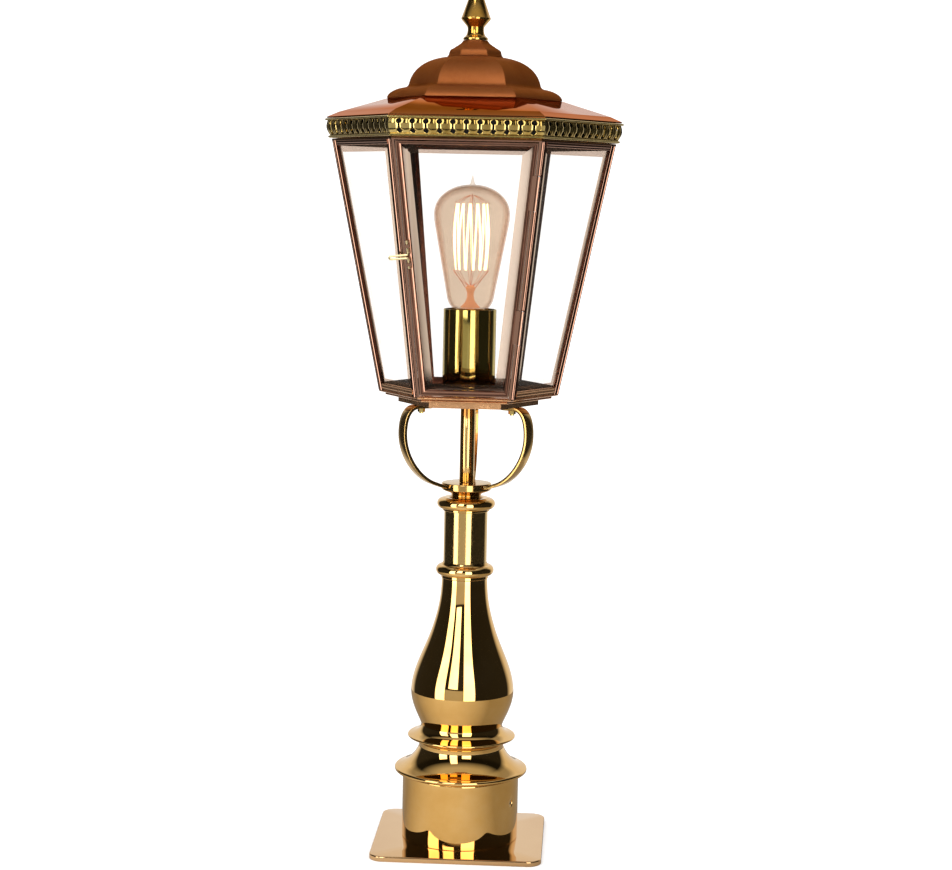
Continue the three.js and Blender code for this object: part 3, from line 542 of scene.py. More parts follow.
vase = (line((34.9, 103)) + curve((34.9, 103), (36.6, 109), (43.8, 119.5), (44.2, 132), 24)
        + curve((44.2, 132), (44.2, 151), (33, 168), (27, 187), 28)
        + curve((27, 187), (23, 200), (19.7, 212), (19.6, 230.6), 22))
hollow = [(r - 3, z) for r, z in vase if z < 224]
vase += line((BORE, 230.6), (BORE, 226), (16.6, 226)) + hollow[::-1]
dress(lathe("vase", vase), BRASS, "polished_brass", "vase_body")


def bead_outline(middle, bottom, top):
    low = line((19.8, bottom), (20.2, bottom + 0.4), (20.2, middle - 4.5))
    high = curve((20.4, middle + 4.5), (19.8, middle + 4.7), (19.2, top - 0.5), (18.8, top), 4)
    return low + arc(20.2, middle, 4.6, 4.5, -88, 88, 20) + high + line((BORE, top), (BORE, bottom))


dress(lathe("bead_low", bead_outline(237.9, 230.8, 244.6)), BRASS, "polished_brass", "lower_bead")
shaft = line((15.6, 244.8), (18.6, 244.8), (18.6, 288.8), (15.6, 288.8))
dress(lathe("shaft", shaft), SATIN_BRASS, "polished_brass", "shaft_sleeve")
dress(lathe("bead_high", bead_outline(295.2, 289.0, 300.4)), BRASS, "polished_brass", "upper_bead")

seat = (line((14.6, 300.7)) + curve((14.6, 300.7), (12.4, 301.2), (11.4, 302.6), (14.2, 304.4), 10)
        + curve((14.2, 304.4), (17, 305.6), (19.2, 305.9), (20.2, 306.8), 8)
        + arc(20.2, 307.7, 0.8, 0.8, -60, 0, 4) + arc(20.3, 312.3, 0.7, 0.7, 0, 90, 5)
        + line((BORE, 313), (BORE, 300.7)))
dress(lathe("seat", seat), SATIN_BRASS, "polished_brass", "bracket_seat")

stem = line((BORE, 313.2), (6.1, 313.2), (6.3, 313.5), (6.3, 380.5), (6.1, 380.8), (BORE, 380.8))
dress(lathe("stem", stem, 64), SATIN_BRASS, "polished_brass", "stem_sleeve")

# ---------- straps ----------

STRAP_TOP = 379.3
STRAP_WIDTH, STRAP_THICKNESS = 12, 3


def strap_path():
    """The middle of a strap from the seat out and up to the tray, as (radius, height)."""
    start = (21.3, 310.5)
    knee = (31, 313.5)
    far = (60.9, 357)
    bend = (48, STRAP_TOP)
    points = line(start) + curve(start, (25, 311), (28, 312.3), knee, 8)
    points += curve(knee, (45, 317.5), (60.9, 336), far, 30)
    points += curve(far, (60.9, 370), (57, STRAP_TOP), bend, 20)
    return points + line((44, STRAP_TOP), (40, STRAP_TOP), (37, STRAP_TOP))


for side, azimuth in {"back": 90, "left": 210, "right": 330}.items():
    path = [(r, 0, z) for r, z in strap_path()]
    section = rounded_box_section(STRAP_WIDTH, STRAP_THICKNESS, 0.5)
    band = sweep("strap_" + side, path, section, up=(0, 0, 1))
    place(band, turned(azimuth))
    dress(band, SATIN_BRASS, "polished_brass", "bracket_" + side)

# ---------- lantern sheet metal ----------

BOTTOM = 390.4
LOW_CORNER = 76.5  # radius of the lantern's corners at the bottom
GROWTH = 0.2036  # how much wider it grows for each millimetre up
APOTHEM = math.cos(math.pi / 6)  # a face's distance from the axis as a share of its corners'
TILT = math.atan(GROWTH * APOTHEM)


def corner_r(z):
    return LOW_CORNER + GROWTH * (z - BOTTOM)


def face_matrix(azimuth):
    """From a face's own frame (along, up the slope, outwards) to the lamp's."""
    a = math.radians(azimuth)
    out = Vector((math.cos(a), math.sin(a), 0))
    along = Vector((-math.sin(a), math.cos(a), 0))
    slope = out * math.sin(TILT) + Vector((0, 0, math.cos(TILT)))
    normal = out * math.cos(TILT) - Vector((0, 0, math.sin(TILT)))
    m = Matrix.Identity(4)
    for i in range(3):
        m[i][0], m[i][1], m[i][2] = along[i], slope[i], normal[i]
        m[i][3] = (out * LOW_CORNER * APOTHEM + Vector((0, 0, BOTTOM)))[i] * MM
    return m


def rise(z):
    """Distance up a face's slope at a height."""
    return (z - BOTTOM) / math.cos(TILT)


def panel(bottom, top, left, right):
    """The corners of a face between two heights, inset from its left and right edges."""
    low, high = corner_r(bottom) / 2, corner_r(top) / 2
    return [(left - low, rise(bottom)), (low - right, rise(bottom)),
            (high - right, rise(top)), (left - high, rise(top))]


PANE_INSET = 3.8
RIGHT_BEVEL, WIDE_BEVEL = 10.3, 15.0


def pane(name, azimuth, bottom, top, depth, right_bevel):
    """A pane with a ground bevel all round its outer face."""
    thick, drop, left_bevel, flat_bevel = 3.5, 1.9, 9.6, 8.4
    outer = panel(bottom, top, PANE_INSET, PANE_INSET)
    inner = panel(bottom + flat_bevel, top - flat_bevel,
                  PANE_INSET + left_bevel, PANE_INSET + right_bevel)
    verts = [(x, y, -depth - thick) for x, y in outer] + [(x, y, -depth - drop) for x, y in outer]
    verts += [(x, y, -depth) for x, y in inner]
    faces = [(3, 2, 1, 0), (8, 9, 10, 11)]
    for k in range(4):
        q = (k + 1) % 4
        faces += [(k, q, 4 + q, 4 + k), (4 + k, 4 + q, 8 + q, 8 + k)]
    obj = finish_mesh(name, verts, faces, 2)
    faces_back = azimuth in (FACES["right_back"], FACES["back"], FACES["left_back"])
    # Bevels facing the camera carry painted reflection; those at the back stay nearly clear.
    flat, upright = (CLEAR_BEVEL, CLEAR_BEVEL) if faces_back else (BEVEL, REFLECTING_SIDE_BEVEL)
    for material in (PANE, flat, upright):
        obj.data.materials.append(material)
    for p in obj.data.polygons:
        if abs(abs(p.normal.z) - 1) > 1e-4:
            p.material_index = 2 if abs(p.normal.x) > abs(p.normal.y) else 1
    return place(obj, face_matrix(azimuth))


for name, azimuth in FACES.items():
    if name == "front":
        obj = pane("door_pane", azimuth, 393.6, 597.1, 2.7, RIGHT_BEVEL)
        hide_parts("door_glass")
        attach(obj, "door")
    else:
        right_bevel = WIDE_BEVEL if name == "left_front" else RIGHT_BEVEL
        obj = pane("pane_" + name, azimuth, 392.4, 598.4, 1.9, right_bevel)
        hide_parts("glass_" + name)
        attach(obj, "lamp")


SHEET = 1.6  # thickness of a post's sheet
# Relief across a post's arm: distance from the corner and height above the sheet.
RELIEF = [(1.2, 0.0), (1.7, -0.5), (2.3, -0.5), (2.8, 0.0), (4.2, 0.0), (4.6, 0.45),
          (5.2, 0.75), (5.9, 0.75), (6.5, 0.45), (6.9, 0.0), (8.4, 0.0)]


def post_outline(corner, z, arms):
    """The V section of a corner post, with a groove and a bead along each wide arm."""
    def ray(degrees):
        return Vector((math.cos(math.radians(degrees)), math.sin(math.radians(degrees)), 0))

    tip = ray(corner) * corner_r(z)
    sides = []
    for turn, length in ((120, arms[0]), (-120, arms[1])):
        along = ray(corner + turn)
        normal = ray(corner + math.copysign(30, turn))
        side = [tip + along * d + normal * h for d, h in RELIEF if d <= length - 0.3]
        side.append(tip + along * length)
        side.append(tip + along * length - normal * SHEET)
        sides.append(side)
    heel = ray(corner) * (corner_r(z) - SHEET / APOTHEM)
    points = [tip] + sides[0] + [heel] + sides[1][::-1]
    return [(p.x, p.y, z) for p in points]


ARM, BACK_ARM = 8.5, 4.8
# Each post's azimuth, and the widths of its arms to the right and to the left, seen from outside.
POSTS = {"right": (0, (ARM, ARM)), "back_right": (60, (BACK_ARM, ARM)),
         "back_left": (120, (ARM, BACK_ARM)), "left": (180, (ARM, ARM)),
         "front_left": (240, (1.8, 10.0)), "front_right": (300, (ARM, 1.85))}
# Each post's inner faces get the darker copper of the inside: painted shade.
for corner, (azimuth, arms) in POSTS.items():
    rings = [post_outline(azimuth, z, arms) for z in (390.7, 600.0)]
    obj = quads("corner_" + corner, rings, closed_section=False)
    dress(obj, COPPER, "dark_copper", "post_" + corner)
    darken_inside(obj, [azimuth])


def rail_ring():
    """The moulding under the lantern: a ring of small beads, closed at the back by a ledge."""
    outline = (line((65.8, 386.4), (69.4, 386.4)) + arc(69.9, 387.4, 0.9, 0.9, -90, 60, 6)
               + line((71.4, 388.4))
               + curve((71.4, 388.4), (73, 388.6), (74.6, 388.8), (75.6, 389.3), 4)
               + arc(75.6, 390.1, 0.9, 0.8, -80, 60, 6) + line((75.4, 391.9), (65.8, 391.9)))
    return hexagon("rail_ring", outline, smooth=40, bevel=0.15)


def strip(azimuth, outline, ends):
    """A straight moulding on a face: the outline is (height, distance out), ends the gaps at its ends."""
    rings = [[(side * (corner_r(z) / 2 - ends), rise(z), out) for z, out in outline] for side in (-1, 1)]
    return place(quads("strip", rings, closed_section=False, smooth=40), face_matrix(azimuth))


def strips(outline):
    """The moulding on the five faces beside the door, its ends just inside the posts' arms."""
    lap = 0.2
    return [strip(azimuth, outline, (BACK_ARM if name == "back" else ARM) - lap)
            for name, azimuth in FACES.items() if name != "front"]


# Mouldings along the foot and the head of each face, as (height, distance out).
LOW_LIP = (line((391.2, -1.6), (391.2, 0), (392.6, 0)) + arc(393.8, 0, 1.2, 0.5, 180, 0, 6)
           + line((395.2, 0)) + arc(396.0, -0.4, 0.8, 0.7, 120, 0, 5) + line((396.8, -1.6)))
HIGH_LIP = (line((595.7, -1.6)) + arc(596.6, -0.4, 0.8, 0.7, 180, 60, 5) + line((597.4, 0))
            + arc(598.6, 0, 1.1, 0.5, 180, 0, 6) + line((600.2, 0), (600.2, -1.6)))
# The bottom rail's lighter copper is painted light for the floor it faces, and its inner faces get painted
# shade.
rail = dress(joined("rail_bottom", [rail_ring()] + strips(LOW_LIP)),
             LIT_RAIL_COPPER, "dark_copper", "bottom_frame")
darken_inside(rail, FACES.values())
head = (line((119.0, 599.4), (119.1, 599.6)) + arc(118.9, 600.5, 0.6, 0.9, -80, 80, 6)
        + line((110.5, 601.5), (110.5, 600.1), (117, 600.1)))
dress(joined("rail_top", [hexagon("head", head, smooth=40, bevel=0.1)] + strips(HIGH_LIP)),
      COPPER, "dark_copper", "top_frame")


def door():
    """The door's frame: four mitred rails with a bead along the pane."""
    bottom, top, inset = 392.4, 598.3, 2.2
    # Across a rail 5 mm wide: distance from its outer edge and height above the sheet.
    outline = line((0, -2.4), (0, -0.3), (0.25, 0), (1.4, 0), (1.7, -0.4), (2.2, -0.4), (2.5, 0),
                   (3.0, 0), (3.3, 0.4), (3.8, 0.6), (4.3, 0.5), (4.7, 0.1), (5.0, -0.5), (5.0, -2.4))
    low, high, left, right = (width / 5 for width in (5.0, 2.4, 5.6, 4.3))
    rings = []
    for d, h in outline:
        corners = panel(bottom + d * low, top - d * high, inset + d * left, inset + d * right)
        rings.append([(x, y, h) for x, y in corners])
    return place(quads("door_rails", rings), face_matrix(FACES["front"]))


dress(door(), COPPER, "dark_copper", "door_frame", body="door")

# ---------- nodes kept from the CAD ----------

KEPT = {INSIDE_SHADE: ("tray",),
        COPPER: ("catch_keeper_lower", "catch_keeper_upper",
                 "hinge_lower_door_leaf", "hinge_lower_post_leaf",
                 "hinge_upper_door_leaf", "hinge_upper_post_leaf"),
        ANTIQUE: ("bracket_bolt_back", "bracket_bolt_left", "bracket_bolt_right"),
        STEEL: ("base_socket", "base_nut", "tie_tube", "cup_nut", "hinge_lower_pin", "hinge_upper_pin"),
        CERAMIC: ("lampholder",),
        CATCH_BRASS: ("door_catch",)}
for material, names in KEPT.items():
    for node in names:
        obj = frame["nodes"][node]
        obj.data.materials.clear()
        obj.data.materials.append(material)
# The tray is dark on top, inside the lantern, with painted shade, and elsewhere as bright as the rails,
# with their painted light.
tray = frame["nodes"]["tray"]
tray.data.materials.append(LIT_RAIL_COPPER)
for p in tray.data.polygons:
    p.material_index = 0 if (tray.matrix_world.to_3x3() @ p.normal).z > 0.5 else 1

# ---------- gallery ----------


GALLERY_LOW, GALLERY_HIGH = 604.4, 616.6
GALLERY_R = 121.5  # the corner radius at which an opening keeps its true width


def gallery_point(u, z, inset):
    """A point on the front strip, a share u of the strip's width to the side of its middle."""
    low_corner, flare, bulge = 121, 2.2, 2.0
    t = (z - GALLERY_LOW) / (GALLERY_HIGH - GALLERY_LOW)
    corner = low_corner + flare * t + bulge * math.sin(math.pi * t) - inset / APOTHEM
    return (u * corner, -corner * APOTHEM, z)


def keyhole(points=32):
    """The outline of a round-neck-round opening about its middle."""
    big, small, gap, neck = 2.0, 1.9, 3.7, 0.6
    outline = []
    for radius, middle, start in ((big, gap, -180), (small, -gap, 0)):
        mouth = math.degrees(math.asin(neck / radius))
        for t in np.linspace(start + mouth, start + 360 - mouth, points // 2):
            a = math.radians(t)
            outline.append((radius * math.sin(a), middle + radius * math.cos(a)))
    return outline


def cell_rim(w, h, points=32):
    """As many points on the rectangle round an opening, its corners among them."""
    upper = [(-w, 0), (-w, h), (w, h), (w, 0)]
    total = 2 * (w + h)
    stops = [0, h / total, (h + 2 * w) / total, 1]
    rim = []
    for route in (upper, [(x, -y) for x, y in upper[::-1]]):
        for t in np.linspace(1 / points, 1 - 1 / points, points // 2):
            rim.append(tuple(float(np.interp(t, stops, axis)) for axis in zip(*route)))
    for x, y in ((w, h), (w, -h), (-w, -h), (-w, h)):
        nearest = min(range(points), key=lambda k: (rim[k][0] - x) ** 2 + (rim[k][1] - y) ** 2)
        rim[nearest] = (x, y)
    return rim


def gallery_strip():
    """The front strip: a row of cells, each a skin from its rim to the lip of its opening."""
    count, margin, steps = 11, 0.022, 8
    half_span = 0.5 - margin
    cell = 2 * half_span / count
    height = GALLERY_HIGH - GALLERY_LOW
    middle_z = (GALLERY_LOW + GALLERY_HIGH) / 2
    key, rim = keyhole(), cell_rim(GALLERY_R * cell / 2, height / 2)
    n = len(key)
    # Each ring of a cell: its share of the way from the opening to the rim, and its depth.
    layers = ((1.0, 0.0), (0.7, -0.1), (0.35, -0.12), (0.12, 0.0), (0.0, 0.25), (0.0, 0.9))
    verts, faces = [], []
    for i in range(count):
        middle_x = GALLERY_R * (-half_span + cell * (i + 0.5))
        rings = []
        for share, inset in layers:
            rings.append(range(len(verts), len(verts) + n))
            for (x, y), (rim_x, rim_y) in zip(key, rim):
                across, up = x + (rim_x - x) * share, y + (rim_y - y) * share
                verts.append(gallery_point((middle_x + across) / GALLERY_R, middle_z + up, inset))
        for a, b in zip(rings, rings[1:]):
            faces += [(a[k], a[(k + 1) % n], b[(k + 1) % n], b[k]) for k in range(n)]
    for side in (-1, 1):
        columns = []
        for u in (side * half_span, side * 0.5):
            columns.append(range(len(verts), len(verts) + steps + 1))
            verts += [gallery_point(u, GALLERY_LOW + height * k / steps, 0.0) for k in range(steps + 1)]
        left, right = columns if side < 0 else columns[::-1]
        faces += [(left[k], left[k + 1], right[k + 1], right[k]) for k in range(steps)]
    return finish_mesh("strip", verts, faces, 40)


def gallery():
    """Six pierced strips between two mouldings, mitred at the corners."""
    low = (line((120.4, 601.7), (121.6, 602.1)) + arc(121.5, 603.1, 1.2, 1.0, -60, 90, 6)
           + line((121.1, 604.5), (117.4, 604.5), (117.4, 601.7)))
    high = (line((123.1, 616.5), (123.8, 616.6)) + arc(124.6, 617.5, 1.0, 0.9, -90, 80, 6)
            + line((123.6, 618.5), (118.8, 618.5), (118.8, 616.5)))
    parts = [hexagon("low", low), hexagon("high", high)]
    parts += [place(gallery_strip(), turned(face - FACES["front"])) for face in FACES.values()]
    return joined("gallery_pierced", parts)


dress(gallery(), ANTIQUE, "antique_brass", "gallery")
# A near-black sheet behind the gallery's openings: painted shade where the openings show only shade.
shade_sheet = line((118.3, 604.6), (120.2, 616.2), (119.2, 616.2), (117.4, 604.6))
dress(hexagon("gallery_shade_sheet", shade_sheet, bevel=0), SHADE_BEHIND_HOLES, "dark_copper")

# ---------- roof ----------

skirt = line((123.6, 618.7), (124, 618.9), (123.8, 619.8), (115.3, 623.4), (114.6, 623.8),
             (74, 635.8), (70, 635.8), (70, 634.6), (112, 622.2), (118, 619.6), (118, 618.7))
dress(hexagon("roof_slope", skirt, bevel=0.3), ROOF, "roof_copper", "roof_skirt")

dome = (line((73.4, 636), (73.6, 636.3), (73.5, 637.1))
        + curve((73.5, 637.1), (72.4, 641.2), (65.4, 644.4), (58.7, 645.3), 12)
        + curve((58.7, 645.3), (56.2, 645.8), (55.4, 647.2), (55, 649.5), 6)
        + curve((55, 649.5), (52.2, 660.5), (42, 668.6), (25, 671), 18)
        + line((18, 671), (18, 669), (25, 669)) + curve((25, 669), (40, 667), (49.6, 658), (51.6, 647), 10)
        + line((57, 643)) + curve((57, 643), (63, 641.6), (68, 639.4), (69.6, 636), 6))
dress(hexagon("roof_bell", dome, smooth=20, bevel=1.6), DOME_COPPER, "roof_copper", "roof_dome")

cap = (line((24, 671.2)) + curve((24, 671.2), (22.6, 672), (22.2, 673.4), (21.9, 675.2), 6)
       + curve((21.9, 675.2), (21.3, 677.3), (19.6, 677.7), (18.1, 678.5), 6)
       + curve((18.1, 678.5), (15.6, 680.5), (11.5, 682), (10.5, 685), 8) + line((2.8, 685), (2.8, 671.2)))
dress(hexagon("roof_crown", cap, smooth=20, bevel=0.8), DOME_COPPER, "roof_copper", "roof_cap")

spike = (line((0, 685.2), (10.2, 685.2))
         + curve((10.2, 685.2), (10.8, 686.4), (10.2, 687.4), (9.4, 687.7), 6)
         + curve((9.4, 687.7), (6.6, 689.4), (6.4, 695), (7.4, 696.4), 12)
         + line((11.9, 701.6), (12.4, 702.6)) + arc(12.1, 703.2, 0.4, 0.4, -40, 70, 3)
         + line((6.3, 720), (1.4, 733.6)) + arc(0, 733.6, 1.4, 1.4, 10, 90, 5))
dress(lathe("finial_spike", spike, 96), SPIKE_BRASS, "polished_brass", "finial")

# ---------- lamp cup and bulb ----------

cup = (line((BORE, 396.8), (22.0, 396.8)) + arc(22.0, 397.2, 0.4, 0.4, -90, 0, 3)
       + arc(22.1, 460.7, 0.3, 0.3, 0, 90, 3)
       + line((21.2, 461), (21.2, 398.8), (BORE, 398.8)))
dress(lathe("cup", cup, 128), CUP_BRASS, "polished_brass", "lamp_cup")
washer = line((BORE, 394.9), (19.2, 394.9), (19.6, 395.3), (19.6, 396.1), (19.2, 396.5), (BORE, 396.5))
dress(lathe("washer", washer, 96), CUP_BRASS, "polished_brass", "cup_washer")

envelope = (line((15, 461.7)) + curve((15, 461.7), (17.2, 463.5), (19.6, 467), (20.4, 474), 10)
            + line((31.2, 532)) + curve((31.2, 532), (31.8, 535), (32, 538), (32, 541), 6)
            + curve((32, 541), (32, 556), (17, 565), (2.6, 565.4), 26)
            + curve((2.6, 565.4), (1.2, 567), (1.5, 569), (0, 574), 8))
inside = (line((0, 564.3)) + curve((0, 564.3), (16.6, 564.2), (30.9, 555.4), (30.9, 541), 24)
          + line((30.1, 532), (19.3, 474))
          + curve((19.3, 474), (18.4, 467.4), (16, 463.9), (13.6, 461.7), 10))
dress(lathe("bulb_envelope", envelope + inside, 96, smooth=50), BULB_GLASS, "amber_glass",
      "bulb_glass", body="bulb")
THREAD_TURNS, THREAD_PITCH = 6, 3.6
cap_rings = line((0, 434), (4.5, 434), (5.5, 435.4), (12.0, 437))
for k in range(THREAD_TURNS):
    z = 438.4 + k * THREAD_PITCH
    cap_rings += [(12.0, z - 1.0), (13.0, z), (13.0, z + 1.2), (12.0, z + 2.2)]
cap_rings += line((12.2, 460.6), (13.1, 461.2), (12.8, 461.4), (0, 461.4))
dress(lathe("bulb_screw_cap", cap_rings, 64), BRASS, "polished_brass", "bulb_cap", body="bulb")


def cage():
    """The glowing wire, run up and down between an upper and a lower ring of hooks."""
    runs, r, low, high = 26, 14.8, 494.0, 549.5
    steps, first_angle, advance = 10, 0.12, 0.72
    path = []
    for i in range(runs):
        a0 = TAU * i / runs + first_angle
        a1 = TAU * (i + advance) / runs + first_angle
        z0, z1 = (low, high) if i % 2 == 0 else (high, low)
        sway = 1.1 * math.sin(3.7 * i)
        for k in range(steps + 1):
            t = k / steps
            a = a0 + (a1 - a0) * t
            bowed = r * (0.88 + 0.12 * math.cos(TAU * (t - 0.5) / 2)) + sway * math.sin(math.pi * t)
            path.append((bowed * math.cos(a), bowed * math.sin(a), z0 + (z1 - z0) * t))
    return sweep("bulb_cage", path, disc_section(0.42, 8), up=(0.3, 0.9, 0.2))


def wires():
    """The spokes that carry the hooks, the rod between them and the two lead wires."""
    spokes, reach = 8, 15.0
    spoke, lead = disc_section(0.16, 6), disc_section(0.25, 8)
    parts = []
    for i in range(spokes):
        a = TAU * (i + 0.25) / spokes
        x, y = reach * math.cos(a), reach * math.sin(a)
        for z0, z1 in ((480.5, 493.0), (556.5, 550.0)):
            path = [(2 * math.cos(a), 2 * math.sin(a), z0),
                    (x * 0.5, y * 0.5, z0 + (z1 - z0) * 0.3), (x, y, z1)]
            parts.append(sweep("spoke", path, spoke, up=(0.2, 0.1, 1)))
    rod = [(0, 0, 480), (0.6, 0.3, 500), (-0.4, 0.2, 530), (0, 0, 558)]
    parts.append(sweep("rod", rod, lead, up=(1, 0, 0)))
    for s in (-1, 1):
        path = [(s * 3, 0, 466), (s * 2.2, 1, 476), (s * 9, 3 * s, 486), (s * 15, 0.5, 494)]
        parts.append(sweep("lead", path, lead, up=(0, 1, 0)))
    return joined("bulb_wires", parts)


foot_outline = (line((0, 462.1), (8.6, 462.1)) + curve((8.6, 462.1), (6.4, 465), (3.4, 466), (2.8, 472), 10)
                + curve((2.8, 472), (2.4, 476), (4.4, 477), (4.2, 479), 8) + line((3.2, 480.4), (0, 481)))
dress(cage(), FILAMENT, "filament", "bulb_filament", body="bulb")
# The wires' and the stem's glow is painted light.
dress(wires(), WIRE_PAINTED_GLOW, "filament", body="bulb")
dress(lathe("bulb_foot", foot_outline, 48), STEM_PAINTED_GLOW, "amber_glass", body="bulb")

# ---------- studio ----------


def floor():
    """A round pale table top; reflections show it with painted shade, lightest at the front left."""
    sides, r = 96, 620.0
    verts = [(r * math.cos(TAU * k / sides), r * math.sin(TAU * k / sides), 0) for k in range(sides)]
    obj = finish_mesh("studio_floor", verts, [tuple(range(sides))])
    m = Nodes("studio_white")
    spots = m.noise(3, 2)
    m.link(m.ramp(spots, (0.3, (0.93, 0.93, 0.93)), (0.7, (0.96, 0.96, 0.96))),
           m.bsdf.inputs["Base Color"])
    m.bsdf.inputs["Roughness"].default_value = 0.9
    level = m.add("ShaderNodeVectorMath", operation="MULTIPLY")
    unit = m.add("ShaderNodeVectorMath", operation="NORMALIZE")
    ahead = m.add("ShaderNodeVectorMath", operation="DOT_PRODUCT")
    level.inputs[1].default_value = (1, 1, 0)
    ahead.inputs[1].default_value = (-0.42, -0.91, 0)
    m.link(m.coord, level.inputs[0])
    m.link(level.outputs[0], unit.inputs[0])
    m.link(unit.outputs[0], ahead.inputs[0])
    shade = m.ramp(ahead.outputs["Value"], (0.0, (0.26, 0.235, 0.2)), (0.45, (0.42, 0.39, 0.35)),
                   (0.85, (0.56, 0.53, 0.5)), (1.0, (0.6, 0.57, 0.54)))
    reflected = m.add("ShaderNodeBsdfDiffuse")
    m.link(shade, reflected.inputs[0])
    both, ray = m.add("ShaderNodeMixShader"), m.add("ShaderNodeLightPath")
    m.link(ray.outputs["Is Glossy Ray"], both.inputs[0])
    m.link(m.bsdf.outputs[0], both.inputs[1])
    m.link(reflected.outputs[0], both.inputs[2])
    m.link(both.outputs[0], m.out.inputs[0])
    obj.data.materials.append(m.mat)


floor()


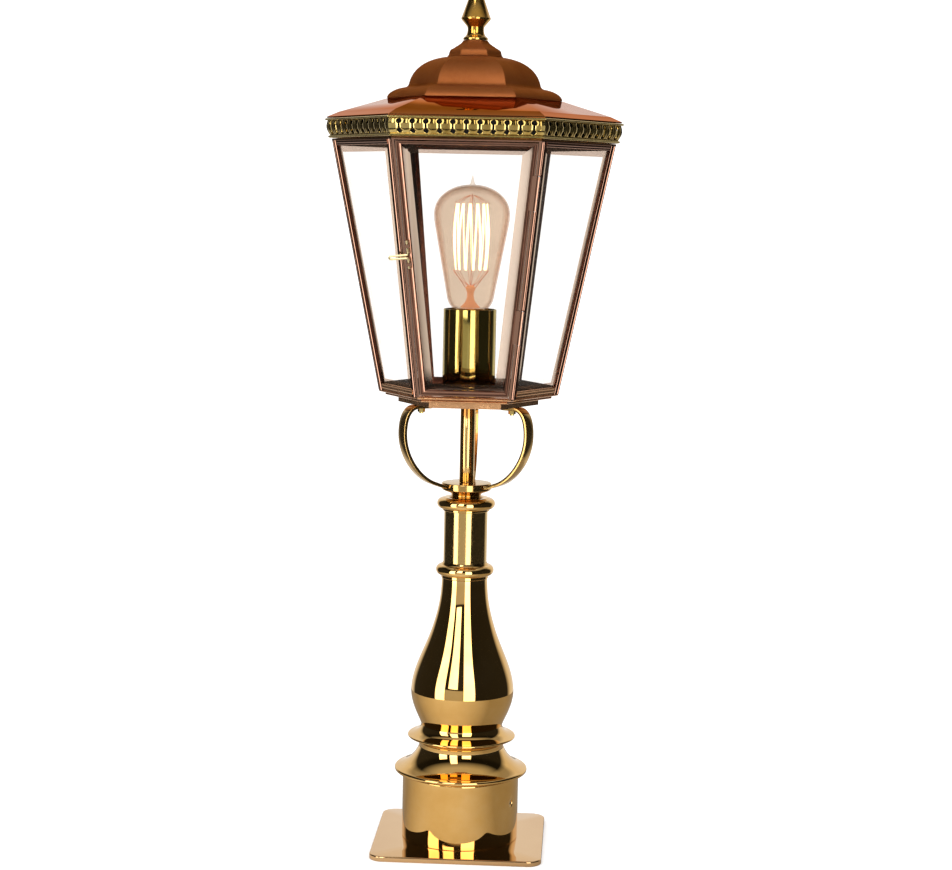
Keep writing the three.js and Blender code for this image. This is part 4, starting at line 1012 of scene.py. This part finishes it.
def world():
    """Even white light, and a studio that only reflections show.

    The studio has a dark hall in front, a white backdrop behind, a pale ceiling, three tall
    windows and a stretch of lit floor far away. Azimuths are 0 in front and grow to the right.
    """
    daylight, window_strength, far_floor_share = 1.4, 4.0, 0.135
    studio = bpy.data.worlds.new("studio")
    bpy.context.scene.world = studio
    studio.use_nodes = True
    tree = studio.node_tree
    tree.nodes.clear()
    link = tree.links.new

    def new(kind, **values):
        node = tree.nodes.new(kind)
        for key, value in values.items():
            setattr(node, key, value)
        return node

    def span(fac, low, high):
        """A value stretched from low..high to 0..1."""
        node = new("ShaderNodeMapRange")
        node.inputs["From Min"].default_value = low
        node.inputs["From Max"].default_value = high
        link(fac, node.inputs[0])
        return node.outputs[0]

    def ramp(fac, stops):
        node = new("ShaderNodeValToRGB")
        elements = node.color_ramp.elements
        while len(elements) < len(stops):
            elements.new(0.5)
        for element, (position, v) in zip(elements, stops):
            element.position = position
            element.color = (v, v * 0.985, v * 0.96, 1)
        link(fac, node.inputs[0])
        return node.outputs[0]

    def combine(kind, a, b):
        node = new("ShaderNodeMix", data_type="RGBA", blend_type=kind)
        node.inputs[0].default_value = 1
        link(a, node.inputs[6])
        link(b, node.inputs[7])
        return node.outputs[2]

    def sideways(deg0, deg1, soft=1.0):
        """Stops of a lit stretch between two azimuths."""
        stops = ((deg0, 0), (deg0 + soft, 1), (deg1 - soft, 1), (deg1, 0))
        return [((degrees + 180) / 360, v) for degrees, v in stops]

    def upwards(deg0, deg1):
        """Stops of a lit stretch between two elevations."""
        low, high = ((math.sin(math.radians(d)) + 1) / 2 for d in (deg0, deg1))
        return [(low - 0.005, 0), (low, 1), (high, 1), (high + 0.008, 0)]

    def lit(columns, rows):
        return combine("MULTIPLY", ramp(azimuth, columns), ramp(level, rows))

    coord, split = new("ShaderNodeTexCoord"), new("ShaderNodeSeparateXYZ")
    link(coord.outputs["Generated"], split.inputs[0])
    flip = new("ShaderNodeMath", operation="MULTIPLY")
    flip.inputs[1].default_value = -1
    link(split.outputs[1], flip.inputs[0])
    turn = new("ShaderNodeMath", operation="ARCTAN2")
    link(split.outputs[0], turn.inputs[0])
    link(flip.outputs[0], turn.inputs[1])
    azimuth = span(turn.outputs[0], -math.pi, math.pi)
    level = span(split.outputs[2], -1, 1)

    around = ramp(azimuth, [(0, 0.9), (0.094, 0.85), (0.117, 0.5), (0.139, 0.03), (0.42, 0.02),
                            (0.5, 0.035), (0.58, 0.02), (0.844, 0.025), (0.867, 0.5),
                            (0.889, 0.85), (1, 0.9)])
    backdrop_top = ramp(level, [(0.74, 1), (0.8, 0.45)])
    hall = new("ShaderNodeMix", data_type="RGBA")
    link(ramp(level, [(0.86, 0), (0.96, 1)]), hall.inputs[0])
    link(combine("MULTIPLY", around, backdrop_top), hall.inputs[6])
    hall.inputs[7].default_value = (0.62, 0.61, 0.6, 1)

    outer_windows = lit(sideways(-60, -37) + sideways(6, 32), upwards(-40, 36))
    middle_window = lit(sideways(-29, -7), upwards(9, 52))
    far_floor = lit([(position, far_floor_share * v) for position, v in sideways(-37, 6)],
                    upwards(-40, 6))
    scale = new("ShaderNodeVectorMath", operation="SCALE")
    scale.inputs[3].default_value = window_strength
    link(combine("ADD", combine("ADD", outer_windows, middle_window), far_floor), scale.inputs[0])

    plain_light, room = new("ShaderNodeBackground"), new("ShaderNodeBackground")
    plain_light.inputs[0].default_value = (1, 1, 1, 1)
    plain_light.inputs[1].default_value = daylight
    link(combine("ADD", hall.outputs[2], scale.outputs[0]), room.inputs[0])
    out, mixer, ray = (new("ShaderNodeOutputWorld"), new("ShaderNodeMixShader"),
                       new("ShaderNodeLightPath"))
    link(ray.outputs["Is Glossy Ray"], mixer.inputs[0])
    link(plain_light.outputs[0], mixer.inputs[1])
    link(room.outputs[0], mixer.inputs[2])
    link(mixer.outputs[0], out.inputs[0])


world()


def softbox(name, location, size, power):
    """A soft light that points at the middle of the lamp and doesn't show in reflections."""
    target = Vector((0, 0, 0.35))
    data = bpy.data.lights.new(name, "AREA")
    data.shape = "RECTANGLE"
    data.size, data.size_y = size
    data.energy = power
    obj = bpy.data.objects.new(name, data)
    obj.location = location
    obj.rotation_euler = (target - Vector(location)).to_track_quat("-Z", "Y").to_euler()
    bpy.context.scene.collection.objects.link(obj)
    obj.visible_glossy = False


softbox("key", (-1.3, -1.3, 1.3), (0.8, 1.4), 8)
softbox("fill", (1.5, -1.0, 1.0), (0.6, 1.4), 4)


def camera():
    """A long lens in front of the door, 3 degrees to the right, a little above and rolled by a degree."""
    focal_px, width_px, sensor_mm = 2177.0, 952, 36
    to_the_right = 3
    pitch, yaw, roll = math.radians(6.389), math.radians(0.137), math.radians(1.2)
    x, distance, height = 2.8, 1842.0, 560.0
    ahead = Vector((math.sin(yaw) * math.cos(pitch), math.cos(yaw) * math.cos(pitch), -math.sin(pitch)))
    level_right = Vector((math.cos(yaw), -math.sin(yaw), 0))
    level_up = level_right.cross(ahead)
    right = math.cos(roll) * level_right + math.sin(roll) * level_up
    up = -math.sin(roll) * level_right + math.cos(roll) * level_up
    m = Matrix.Identity(4)
    for i in range(3):
        m[i][0], m[i][1], m[i][2] = right[i], up[i], -ahead[i]
    m.translation = Vector((x, -distance, height)) * MM
    data = bpy.data.cameras.new("camera")
    data.sensor_width = sensor_mm
    data.lens = focal_px * sensor_mm / width_px
    obj = bpy.data.objects.new("camera", data)
    bpy.context.scene.collection.objects.link(obj)
    obj.matrix_world = turned(to_the_right) @ m
    bpy.context.scene.camera = obj


camera()
bpy.context.scene.view_settings.view_transform = "Standard"
